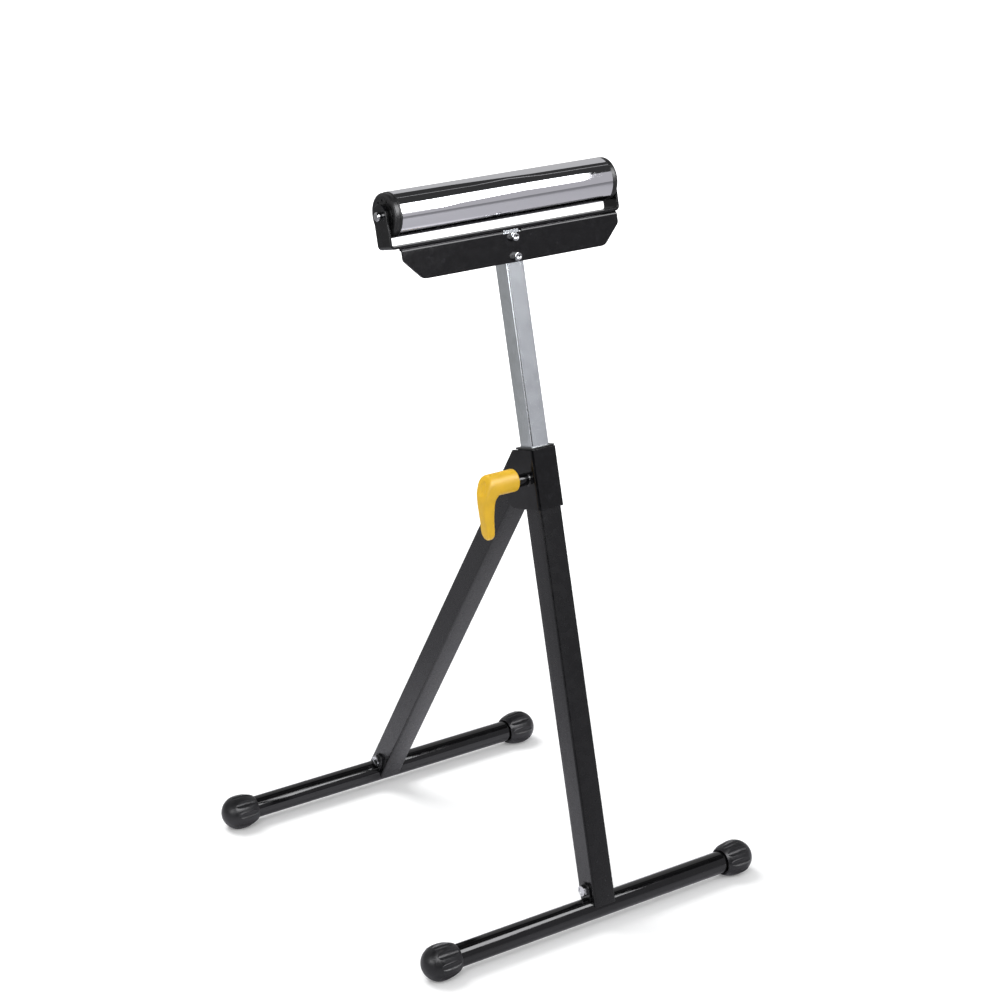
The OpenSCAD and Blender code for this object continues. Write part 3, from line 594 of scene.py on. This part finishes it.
def dust_and_glint_paint(name, colour, rough, peel):
    """Black paint whose colour has a faint lighter mottling, partly a dusting and partly painted glints of
    reflected light, with rub marks in patches.
    """
    s = Shader(name, colour, rough, specular=0.38)
    # The lighter colours are partly a dusting and partly painted glints of reflected light, brightest at the
    # specks
    dusting_and_glint, glint_speck = shades(colour, 2.6, 9)
    s.colours(s.noise(size=0.008, detail=9, rough=0.8), [(0.45, colour), (0.6, dusting_and_glint), (0.68, glint_speck)])
    patches = s.noise(size=0.012, detail=7, rough=0.7)
    s.roughness(patches, low=rough - 0.03, high=rough + 0.05, start=0.4, end=0.68)
    s.bump(s.noise(size=0.0011, detail=1.5), distance=peel)
    return s.material


def rubber(name, colour):
    """Moulded rubber with a fine grain and a little sheen."""
    s = Shader(name, colour, 0.36)
    dark, light = shades(colour, 0.8, 1.25)
    s.colours(s.noise(size=0.008, detail=5, rough=0.65), [(0.3, dark), (0.72, light)])
    s.roughness(s.noise(size=0.004, detail=4), low=0.32, high=0.42)
    s.bump(s.noise(size=0.0005, detail=3, rough=0.7), distance=0.00003)
    s.bump(s.noise(size=0.003, detail=3), distance=0.00006)
    return s.material


def plastic(name, colour, rough):
    """Moulded plastic with a fine grain."""
    s = Shader(name, colour, rough)
    dark, light = shades(colour, 0.93, 1.05)
    s.colours(s.noise(size=0.02, detail=3), [(0.3, dark), (0.7, light)])
    s.roughness(s.noise(size=0.003, detail=3), low=rough - 0.05, high=rough + 0.06)
    s.bump(s.noise(size=0.0006), distance=0.00003)
    return s.material


def zinc(name, colour, turn):
    """Bright zinc on drawn steel: cloudy plating over faint lines along the draw."""
    s = Shader(name, colour, 0.2, metallic=1.0)
    dark, light = shades(colour, 0.9, 1.08)
    s.colours(s.noise(size=0.02, detail=5, rough=0.6), [(0.28, dark), (0.72, light)])
    lines = s.noise(size=1, detail=3, vector=s.stretched((2200, 2200, 7), turn))
    s.roughness(lines, low=0.15, high=0.24)
    s.bump(lines, distance=0.00002)
    s.bump(s.noise(size=0.008, detail=3), distance=0.00005)
    return s.material


def bright_metal(name, colour, rough, swirl=0.0):
    """Bare or thinly plated steel, with turning marks where swirl is more than nought."""
    s = Shader(name, colour, rough, metallic=1.0)
    dark, light = shades(colour, 0.94, 1.04)
    s.colours(s.noise(size=0.01, detail=3), [(0.3, dark), (0.7, light)])
    s.roughness(s.noise(size=0.0025, detail=3), low=rough * 0.8, high=rough * 1.3 + 0.01)
    if swirl:
        s.bump(s.noise(size=1, vector=s.stretched((40, 1500, 1500))), distance=swirl)
    return s.material


def chrome(name, colour, dull):
    """Hard chrome on a ground tube: a mirror with the faintest waves and dull specks."""
    s = Shader(name, colour, 0.03, metallic=1.0)
    s.colours(s.noise(size=0.004, detail=8, rough=0.8), [(0.22, dull), (0.36, colour)])
    s.roughness(s.noise(size=0.003, detail=5), low=0.02, high=0.05)
    s.bump(s.noise(size=0.03, vector=s.stretched((0.35, 1, 1))), distance=0.00002)
    return s.material


MATERIALS = {
    "black_paint": paint("satin_black_paint", (0.0032, 0.0032, 0.0038), rough=0.26, peel=0.00003),
    "gloss_paint": paint("gloss_black_paint", (0.003, 0.003, 0.0033), rough=0.09, peel=0.000008),
    "bracket_paint": dust_and_glint_paint("bracket_black_paint", (0.0022, 0.0022, 0.0026), rough=0.15, peel=0.00002),
    "black_plastic": plastic("black_plastic", (0.009, 0.009, 0.0095), rough=0.33),
    "black_rubber": rubber("black_rubber", (0.0042, 0.0042, 0.0054)),
    "yellow_plastic": plastic("yellow_plastic", (0.7, 0.41, 0.006), rough=0.42),
    "post_zinc": zinc("post_zinc", (0.83, 0.87, 0.89), turn=(-LEAN, 0, 0)),
    "zinc_plate": bright_metal("fastener_zinc", (0.52, 0.525, 0.535), rough=0.12),
    "chrome": chrome("chrome", (0.93, 0.93, 0.955), dull=(0.8, 0.8, 0.83)),
    "steel": bright_metal("turned_steel", (0.56, 0.56, 0.58), rough=0.24, swirl=0.00001),
    "bearing_black": plastic("bearing_seal", (0.006, 0.006, 0.0065), rough=0.3),
    "ball_steel": bright_metal("ball_steel", (0.9, 0.9, 0.92), rough=0.06),
}
# Nodes whose finish differs from that of their material slot
FINISH_OF = {
    "front_foot_tube": "gloss_paint", "rear_foot_tube": "gloss_paint", "clamp_boss": "gloss_paint",
    "roller_bracket": "bracket_paint", "flange_plate": "bracket_paint", "clamp_head": "bracket_paint",
    "inner_post": "post_zinc", "bearing_inner_rings": "bearing_black",
    "bearing_outer_rings": "bearing_black", "bearing_cages": "bearing_black",
    "bearing_balls": "ball_steel",
}


def finish_of(node):
    return MATERIALS[FINISH_OF.get(node, MATERIAL_SLOT[node])]


def dress_cad_nodes():
    """Every CAD node carries its finish, also the hidden ones."""
    for node, obj in frame["nodes"].items():
        if obj.data.materials:
            for i in range(len(obj.data.materials)):
                obj.data.materials[i] = finish_of(node)
        else:
            obj.data.materials.append(finish_of(node))


# Pieces

def finish_piece(obj, node, replaces=True):
    """Gives a piece its material and puts it under its body, and hides the CAD node that it stands for unless told
    not to.
    """
    obj.data.materials.clear()
    obj.data.materials.append(finish_of(node))
    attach(obj, BODY_OF[node])
    if replaces:
        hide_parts(node)


# Vertices nearer than this, in metres, are one
MERGE_DISTANCE = 1e-6
BEVEL_SEGMENTS = 3


def softened(node, width):
    """A copy of a CAD node's shape with its sharp edges rounded."""
    bm = bmesh.new()
    bm.from_mesh(frame["nodes"][node].data)
    bmesh.ops.remove_doubles(bm, verts=bm.verts, dist=MERGE_DISTANCE)
    bmesh.ops.dissolve_limit(bm, angle_limit=FLAT_ANGLE, verts=bm.verts, edges=bm.edges)
    mesh = bpy.data.meshes.new(node + "_soft")
    bm.to_mesh(mesh)
    bm.free()
    for name in ("custom_normal", "sharp_face", "sharp_edge"):
        if name in mesh.attributes:
            mesh.attributes.remove(mesh.attributes[name])
    obj = link(bpy.data.objects.new(node + "_piece", mesh))
    mesh.polygons.foreach_set("use_smooth", [True] * len(mesh.polygons))
    mesh.set_sharp_from_angle(angle=SMOOTH_ANGLE)
    bevel = obj.modifiers.new("edges", "BEVEL")
    bevel.width = width
    bevel.segments = BEVEL_SEGMENTS
    bevel.limit_method = "ANGLE"
    bevel.angle_limit = SMOOTH_ANGLE
    bevel.harden_normals = True
    bevel.miter_outer = "MITER_ARC"
    finish_piece(obj, node)


# Pieces built from rows of points round the x axis

# Points of a ring, unless a piece needs finer or coarser ones
RING_COUNT = 96


def circle_row(x, r, count=RING_COUNT):
    """Points round the x axis, or the one point where r is nought."""
    if r == 0:
        return [Vector((x, 0, 0))]
    turns = [2 * pi * i / count for i in range(count)]
    return [Vector((x, -r * sin(a), r * cos(a))) for a in turns]


def hex_radius(flats, angle):
    """How far a hexagon's side lies from its centre, with a corner at angle 0."""
    return flats / 2 / cos(angle % (pi / 3) - pi / 6)


def hex_row(x, flats, chamfer=0.0):
    """A hexagon's outline. A chamfer moves its corners along x, in full at the corners themselves."""
    middle_r, corner_r = flats / 2, hex_radius(flats, 0)
    row = []
    for i in range(RING_COUNT):
        a = 2 * pi * i / RING_COUNT
        r = hex_radius(flats, a)
        back = chamfer * (r - middle_r) / (corner_r - middle_r)
        row.append(Vector((x + back, -r * sin(a), r * cos(a))))
    return row


EASE_STEPS = 4
# Most of a side that one rounded corner may take
EASE_SHARE = 0.45


def eased(points, radius):
    """The points of a closed outline with its corners rounded, as far as its sides leave room."""
    out = []
    for i, point in enumerate(points):
        b = Vector(point)
        before = Vector(points[i - 1]) - b
        after = Vector(points[(i + 1) % len(points)]) - b
        reach = min(radius, EASE_SHARE * before.length, EASE_SHARE * after.length)
        start, end = b + before.normalized() * reach, b + after.normalized() * reach
        for k in range(EASE_STEPS + 1):
            t = k / EASE_STEPS
            out.append(tuple(start * (1 - t) ** 2 + b * 2 * t * (1 - t) + end * t ** 2))
    return out


def skin(bm, rows, closed, place):
    """Faces from each row of points to the next. A row of one point closes an end."""
    made = [[bm.verts.new(place @ p) for p in row] for row in rows]
    pairs = list(zip(made, made[1:])) + ([(made[-1], made[0])] if closed else [])
    for first, second in pairs:
        n = max(len(first), len(second))
        for i in range(n):
            j = (i + 1) % n
            corners = [first[i % len(first)], first[j % len(first)],
                       second[j % len(second)], second[i % len(second)]]
            unique = [v for k, v in enumerate(corners) if v not in corners[:k]]
            bm.faces.new(unique)


def mesh_piece(name, bm, angle=TURNED_ANGLE):
    """An object from a mesh, with the edges sharper than the angle left sharp."""
    bmesh.ops.recalc_face_normals(bm, faces=bm.faces)
    mesh = bpy.data.meshes.new(name)
    bm.to_mesh(mesh)
    bm.free()
    mesh.polygons.foreach_set("use_smooth", [True] * len(mesh.polygons))
    mesh.set_sharp_from_angle(angle=angle)
    return link(bpy.data.objects.new(name, mesh))


def open_tube(node, place, radius, wall, ease, count):
    """A tube along x with eased edges, as long as its CAD node."""
    low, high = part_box(node)
    half = (high.x - low.x) / 2 / MM
    bore = radius - wall
    outline = [(-half, bore), (-half, radius), (half, radius), (half, bore)]
    bm = bmesh.new()
    skin(bm, [circle_row(x, r, count) for x, r in eased(outline, ease)], True, place)
    finish_piece(mesh_piece(node + "_piece", bm), node)


def placed(point, turn=None):
    """From millimetres about a point to metres in the stand's frame."""
    return Matrix.Translation(point) @ (turn or Matrix.Identity(4)) @ Matrix.Scale(MM, 4)


def ball_cap_radius(x):
    """Radius of a ball cap at x outward from its ball's centre."""
    if x >= BALL_BELT_OUT:
        return sqrt(max(BALL_R ** 2 - (x - BALL_BELT_OUT) ** 2, 0))
    if x >= -BALL_BELT_IN:
        return BALL_R
    barrel, sag = COLLAR_IN - BALL_BELT_IN, BALL_R - COLLAR_R
    bow = (barrel ** 2 + sag ** 2) / (2 * sag)
    return BALL_R - bow + sqrt(bow ** 2 - (x + BALL_BELT_IN) ** 2)


def fluted_row(x, radius, foot_z):
    """A ring of a ball cap: smooth lands between flutes whose edges stand up in a fine ridge."""
    centre = BALL_R + FLUTE_R - FLUTE_DEPTH + FLUTE_TILT * min(x, 0)
    sector = 2 * pi / FLUTES
    reach = (centre ** 2 + radius ** 2 - FLUTE_R ** 2) / (2 * centre * radius)
    half = acos(reach) if reach < 1 else 0
    half = max(half, FLUTE_END)
    lift = RIDGE * min(1, half / RIDGE_FADE)
    lip = half + RIDGE_W / radius
    row = []
    for k in range(FLUTES):
        mid = pi + (k + 0.5) * sector
        angles = [(-half + 2 * half * i / FLUTE_STEPS, "flute") for i in range(1, FLUTE_STEPS)]
        lands = [(lip + (sector / 2 - lip) * i / LAND_STEPS, "land") for i in range(LAND_STEPS + 1)]
        left = [(-a, kind) for a, kind in reversed(lands)]
        for a, kind in left + [(-half, "edge")] + angles + [(half, "edge")] + lands[:-1]:
            r = radius
            if kind == "edge":
                r = radius + lift
            if kind == "flute":
                inside = FLUTE_R ** 2 - (centre * sin(a)) ** 2
                r = min(radius + lift, centre * cos(a) - sqrt(max(inside, 0)))
            z = max(r * cos(mid + a), -foot_z)
            row.append(Vector((x, -r * sin(mid + a), z)))
    return row


def ball_cap(node, foot, side):
    """A rubber ball cap with leaf-shaped flutes, a collar and the open ring round the tube."""
    low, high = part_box(node)
    foot_z = foot.z / MM
    centre_x = low.x + COLLAR_IN * MM if side > 0 else high.x - COLLAR_IN * MM
    tube = FOOT_TUBE_R + TUBE_CLEAR
    ring = FOOT_TUBE_R + RING_GAP
    tip = BALL_BELT_OUT + BALL_R
    barrel = COLLAR_IN - BALL_BELT_IN - COLLAR_LAST_ROW
    xs = [BALL_BELT_OUT + BALL_R * cos(pi / 2 * i / NOSE_STEPS) for i in range(1, NOSE_STEPS + 1)]
    xs += [(BALL_BELT_OUT - BALL_BELT_IN) / 2]
    xs += [-BALL_BELT_IN - barrel * i / BARREL_STEPS for i in range(BARREL_STEPS + 1)]
    rows = [[Vector((tip, 0, 0))]] + [fluted_row(x, ball_cap_radius(x), foot_z) for x in xs]
    rim = [(-COLLAR_IN + x, COLLAR_R - r) for x, r in COLLAR_ROUND]
    rim += [(-COLLAR_IN, ring + RING_EDGE), (-COLLAR_IN + RING_EDGE, ring), (-COLLAR_IN + RING_DEPTH, ring),
            (-COLLAR_IN + RING_DEPTH, tube), (-TUBE_IN, tube)]
    rows += [fluted_row(x, r, foot_z) for x, r in rim] + [[Vector((-TUBE_IN, 0, 0))]]
    bm = bmesh.new()
    mirrored = Matrix.Scale(side, 4, (1, 0, 0))
    skin(bm, rows, False, placed((centre_x, foot.y, foot.z), mirrored))
    finish_piece(mesh_piece(node + "_piece", bm), node)


def foot_tube(node):
    open_tube(node, placed(middle(node)), FOOT_TUBE_R, TUBE_WALL, FOOT_TUBE_EASE, TUBE_COUNT)


def hex_bolt(node, turn):
    """A hexagon bolt along x with its dished head on the left."""
    low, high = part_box(node)
    right = (high.x - low.x) / 2 / MM
    left = -right
    shank, head = BOLT_D / 2, left + BOLT_HEAD_H
    face = BOLT_FLATS / 2 * FACE_SHARE
    dish, mouth = (face * share for share in DISH_SHARES)
    rows = [circle_row(left + DISH_DEPTH, 0), circle_row(left + DISH_DEPTH, dish), circle_row(left, mouth),
            circle_row(left, face), hex_row(left + CHAMFER_STEP, BOLT_FLATS, chamfer=BOLT_CHAMFER),
            hex_row(head, BOLT_FLATS), circle_row(head, shank), circle_row(right - BOLT_TIP, shank),
            circle_row(right, shank - BOLT_TIP), circle_row(right, 0)]
    bm = bmesh.new()
    skin(bm, rows, False, placed((low + high) / 2, turn))
    finish_piece(mesh_piece(node + "_piece", bm, FACET_ANGLE), node)


def nut_rows(start, end, flats, bolt):
    face = flats / 2 * FACE_SHARE
    bore = bolt / 2 + NUT_CLEAR
    return [circle_row(start, bore), circle_row(start, face),
            hex_row(start + CHAMFER_STEP, flats, chamfer=NUT_CHAMFER),
            hex_row(end - CHAMFER_STEP, flats, chamfer=-NUT_CHAMFER),
            circle_row(end, face), circle_row(end, bore)]


def hex_nut(node, turn):
    low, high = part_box(node)
    half = (high.x - low.x) / 2 / MM
    bm = bmesh.new()
    skin(bm, nut_rows(-half, half, BOLT_FLATS, BOLT_D), True, placed((low + high) / 2, turn))
    finish_piece(mesh_piece(node + "_piece", bm, FACET_ANGLE), node)


plate_up = (front_frame.inverted() @ roller_axis).z / MM - ROLLER_R - ROLLER_GAP - SHEET
BOLT_UPS = (plate_up - BOLT_DROP, plate_up - BOLT_DROP - BOLT_PITCH)


def bracket_fastener(up):
    """From millimetres along a bracket bolt, whose x runs back through the post, to the stand's frame."""
    along_bolt = Matrix.Rotation(pi / 2, 4, "Z") @ Matrix.Scale(MM, 4)
    return front_frame @ Matrix.Translation((0, 0, up * MM)) @ along_bolt


def bracket_bolts():
    """Socket head screws with a knurled head, a rounded face edge and a hexagon socket."""
    base = -POST_SIZE / 2 - SHEET
    face = base - SMALL_HEAD_H
    tail = POST_SIZE / 2 + SMALL_WASHER_T + SMALL_NUT_H + SMALL_BOLT_OUT
    r, shank = SMALL_HEAD_D / 2, SMALL_BOLT_D / 2

    def knurled(x):
        crests, roots = circle_row(x, r, KNURLS), circle_row(x, r * KNURL_SHARE, KNURLS)
        return [roots[i] if i % 2 else crests[i] for i in range(KNURLS)]

    socket = face + SOCKET_DEPTH
    rows = [circle_row(socket + SOCKET_CONE, 0), hex_row(socket, SOCKET_FLATS),
            hex_row(face + SOCKET_EDGE, SOCKET_FLATS)]
    rows += [circle_row(face + x, SOCKET_FLATS / 2 * share) for x, share in SOCKET_MOUTH_SHARES]
    rows += [circle_row(face + x, r - inward) for x, inward in HEAD_ROUND]
    rows += [knurled(face + KNURL_TOP), knurled(base - KNURL_LOW), circle_row(base, r - HEAD_LOW_EDGE),
             circle_row(base, shank), circle_row(tail - SMALL_BOLT_TIP, shank),
             circle_row(tail, shank - SMALL_BOLT_TIP), circle_row(tail, 0)]
    bm = bmesh.new()
    for up in BOLT_UPS:
        skin(bm, rows, False, bracket_fastener(up))
    finish_piece(mesh_piece("bracket_bolts_piece", bm, FACET_ANGLE), "bracket_bolts")


def bracket_nuts():
    start = POST_SIZE / 2 + SMALL_WASHER_T
    rows = nut_rows(start, start + SMALL_NUT_H, SMALL_NUT_FLATS, SMALL_BOLT_D)
    bm = bmesh.new()
    for up in BOLT_UPS:
        skin(bm, rows, True, bracket_fastener(up))
    finish_piece(mesh_piece("bracket_nuts_piece", bm, FACET_ANGLE), "bracket_nuts")


# The roller

def roller_tube():
    open_tube("roller_tube", placed(roller_axis), ROLLER_R, ROLLER_WALL, ROLLER_EASE, ROLLER_COUNT)


def roller_cap(node, side):
    """An end cap: a plug in the tube, a rim against it, a softly rounded face and the bearing's seat."""
    low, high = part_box("roller_tube")
    half = (high.x - low.x) / 2 / MM
    face = half + CAP_OUT
    edge = ROLLER_R - CAP_STEP
    rim = half + CAP_RIM
    plug = ROLLER_R - ROLLER_WALL - CAP_CLEAR
    seat = face - POCKET_DEPTH
    deep, wide = POCKET_EDGE
    outline = [(half - CAP_PLUG, plug - CAP_WALL), (half - CAP_PLUG, plug), (half, plug),
               (half, ROLLER_R - CAP_SEAM), (half + RIM_EDGE, ROLLER_R), (rim - RIM_EDGE, ROLLER_R),
               (rim, ROLLER_R - RIM_EDGE)]
    outline += [(rim + x, edge - inward) for x, inward in RIM_FOOT]
    quarter = [pi / 2 * i / CAP_EDGE_STEPS for i in range(CAP_EDGE_STEPS + 1)]
    outline += [(face - CAP_EDGE_R * (1 - sin(a)), edge - CAP_EDGE_R * (1 - cos(a))) for a in quarter]
    outline += [(face, POCKET_R + wide), (face - deep, POCKET_R), (seat, POCKET_R), (seat, SEAT_BORE_R),
                (seat - CAP_WALL, SEAT_BORE_R), (seat - CAP_WALL, plug - CAP_WALL)]
    bm = bmesh.new()
    mirrored = Matrix.Scale(side, 4, (1, 0, 0))
    skin(bm, [circle_row(x, r, CAP_COUNT) for x, r in outline], True, placed(roller_axis, mirrored))
    finish_piece(mesh_piece(node + "_piece", bm), node)


def bearing_balls():
    """The balls, set a little towards their cage's windows so that they show in them."""
    rows = []
    for k in range(BALL_STEPS + 1):
        a = pi * k / BALL_STEPS
        r = 0 if k in (0, BALL_STEPS) else BEARING_BALL_R * sin(a)
        rows.append(circle_row(BEARING_BALL_R * cos(a), r, BALL_COUNT))
    bm = bmesh.new()
    for side in (-1, 1):
        x = side * (BEARING_X + BALLS_FORWARD)
        for i in range(BEARING_BALLS):
            turn = 2 * pi * i / BEARING_BALLS
            centre = Vector((x, -BALL_CIRCLE_R * sin(turn), BALL_CIRCLE_R * cos(turn)))
            skin(bm, rows, False, placed(roller_axis) @ Matrix.Translation(centre))
    finish_piece(mesh_piece("bearing_balls_piece", bm), "bearing_balls")


def roller_axle():
    """The axle's rod with its two riveted heads."""
    low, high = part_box("roller_axle")
    end = (high.x - low.x) / 2 / MM
    seat = end - AXLE_HEAD_H
    r = AXLE_HEAD_D / 2
    out, inward = AXLE_LOW_EDGE
    half = [(seat, AXLE_D / 2), (seat, r - inward), (seat + out, r)]
    half += [(end - x, r - down) for x, down in AXLE_DOME]
    half += [(end, AXLE_DIMPLE_R), (end - AXLE_DIMPLE, 0)]
    outline = [(-x, y) for x, y in reversed(half)] + half
    bm = bmesh.new()
    skin(bm, [circle_row(x, y, AXLE_COUNT) for x, y in outline], False, placed(roller_axis))
    finish_piece(mesh_piece("roller_axle_piece", bm, DOME_ANGLE), "roller_axle")


# The clamp

def along(table, z):
    """A table's value at height z, on a smooth curve through its points."""
    if z >= table[0][0]:
        return table[0][1]
    for i in range(len(table) - 1):
        (z0, v0), (z1, v1) = table[i], table[i + 1]
        if z1 <= z <= z0:
            before = table[max(i - 1, 0)]
            after = table[min(i + 2, len(table) - 1)]
            m0 = (v1 - before[1]) / (z1 - before[0])
            m1 = (after[1] - v0) / (after[0] - z0)
            h, t = z1 - z0, (z - z0) / (z1 - z0)
            return ((2 * t ** 3 - 3 * t ** 2 + 1) * v0 + (t ** 3 - 2 * t ** 2 + t) * h * m0 +
                    (3 * t ** 2 - 2 * t ** 3) * v1 + (t ** 3 - t ** 2) * h * m1)
    return table[-1][1]


def drawn_out(value):
    """A cosine or sine drawn out towards one, which squares a round outline."""
    return copysign(abs(value) ** LEVER_POWER, value)


def lever_row(z):
    """A level slice of the lever: a rounded oblong between its inner and outer faces."""
    half = along(LEVER_HALVES, z)
    outer = along(LEVER_OUTERS, z)
    flare = min(max((z - FLARE_Z) / FLARE_RISE, 0), 1)
    inner = LEVER_INNER_X + LEVER_FLARE * flare ** 2 * (3 - 2 * flare) - max(TIP_Z - z, 0) * TIP_SLOPE
    row = []
    for i in range(LEVER_COUNT):
        a = 2 * pi * i / LEVER_COUNT
        x = (inner + outer) / 2 + (inner - outer) / 2 * drawn_out(cos(a))
        y = half * drawn_out(sin(a))
        dimple = 1 - (y / DIMPLE_HALF[0]) ** 2 - ((z - DIMPLE_Z) / DIMPLE_HALF[1]) ** 2
        if cos(a) < 0 < dimple:
            x += DIMPLE_DEPTH * min(1, dimple * DIMPLE_WALL)
        row.append(Vector((x, y, z)))
    return row


def clamp_handle():
    """The hub and lever as one soft moulding."""
    bm = bmesh.new()
    place = placed(Vector((leg_x, screw_axis.y, screw_axis.z)))
    top, bottom = LEVER_HALVES[0][0], LEVER_HALVES[-1][0]
    rows = [lever_row(top + (bottom - top) * i / LEVER_LEVELS) for i in range(LEVER_LEVELS + 1)]
    ends = [[sum(row, Vector()) / len(row)] for row in (rows[0], rows[-1])]
    skin(bm, [ends[0]] + rows + [ends[1]], False, place)
    far = LEVER_INNER_X - HUB_SINK
    outline = [(HUB_X, 0), (HUB_X, HUB_R - HUB_EDGE), (HUB_X - HUB_EDGE / 3, HUB_R - HUB_EDGE / 3),
               (HUB_X - HUB_EDGE, HUB_R), (far + HUB_END_EDGE, HUB_R), (far, HUB_R - HUB_END_EDGE),
               (far, 0)]
    hub_place = place @ Matrix.Translation((0, 0, HUB_RISE))
    skin(bm, [circle_row(x, r) for x, r in outline], False, hub_place)
    obj = mesh_piece("clamp_handle_piece", bm)
    remesh = obj.modifiers.new("one_moulding", "REMESH")
    remesh.mode = "VOXEL"
    remesh.voxel_size = MOULDING_VOXEL * MM
    remesh.use_smooth_shade = True
    soft = obj.modifiers.new("soft_edges", "SMOOTH")
    soft.factor = MOULDING_SOFTNESS
    soft.iterations = MOULDING_PASSES
    finish_piece(obj, "clamp_handle")


def boss_weld():
    """The rippled weld bead that joins the clamp boss to the clamp head."""
    low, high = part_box("clamp_boss")
    centre = (low + high) / 2
    boss = (high.z - low.z) / 2 / MM - WELD_SINK
    rows = []
    for k in range(WELD_STEPS + 1):
        a = pi * k / WELD_STEPS
        row = []
        for i in range(WELD_COUNT):
            turn = 2 * pi * i / WELD_COUNT
            swell = 1 + WELD_RIPPLE * abs(sin(turn * WELD_RIPPLES)) - WELD_WANDER * sin(3 * turn)
            out = WELD_OUT * swell * sin(a) * (1 + cos(a)) + WELD_SKIN
            r = boss + WELD_W * swell * (1 - cos(a)) / 2
            row.append(Vector((-out, -r * sin(turn), r * cos(turn))))
        rows.append(row)
    bm = bmesh.new()
    skin(bm, rows, True, placed(Vector((high.x, centre.y, centre.z))))
    finish_piece(mesh_piece("boss_weld", bm), "clamp_boss", replaces=False)


# How far each CAD node's sharp edges are rounded, in millimetres
SOFT_EDGES = {
    "front_leg": 0.3, "rear_leg": 0.3, "clamp_head": 0.35, "guide_bush": 0.3, "roller_bracket": 0.35,
    "flange_plate": 0.35, "inner_post": 0.25, "front_foot_ears": 0.35, "rear_foot_ears": 0.35,
    "clamp_boss": 0.5, "front_foot_nut": 0.3, "rear_foot_nut": 0.3, "pivot_washer": 0.2,
    "bracket_washers": 0.2, "bearing_outer_rings": 0.2, "bearing_inner_rings": 0.2,
    "bearing_cages": 0.12,
}

set_camera()
set_studio()
dress_cad_nodes()
for node, width in SOFT_EDGES.items():
    softened(node, width * MM)
for name, foot in (("front", front_foot), ("rear", rear_foot)):
    ball_cap(name + "_left_cap", foot, -1)
    ball_cap(name + "_right_cap", foot, 1)
    foot_tube(name + "_foot_tube")
hex_bolt("front_foot_bolt", tilted_back)
hex_bolt("rear_foot_bolt", tilted_forward)
hex_bolt("pivot_bolt", tilted_back)
hex_nut("pivot_nut", tilted_back)
bracket_bolts()
bracket_nuts()
roller_tube()
roller_cap("roller_right_cap", 1)
roller_cap("roller_left_cap", -1)
bearing_balls()
roller_axle()
clamp_handle()
boss_weld()
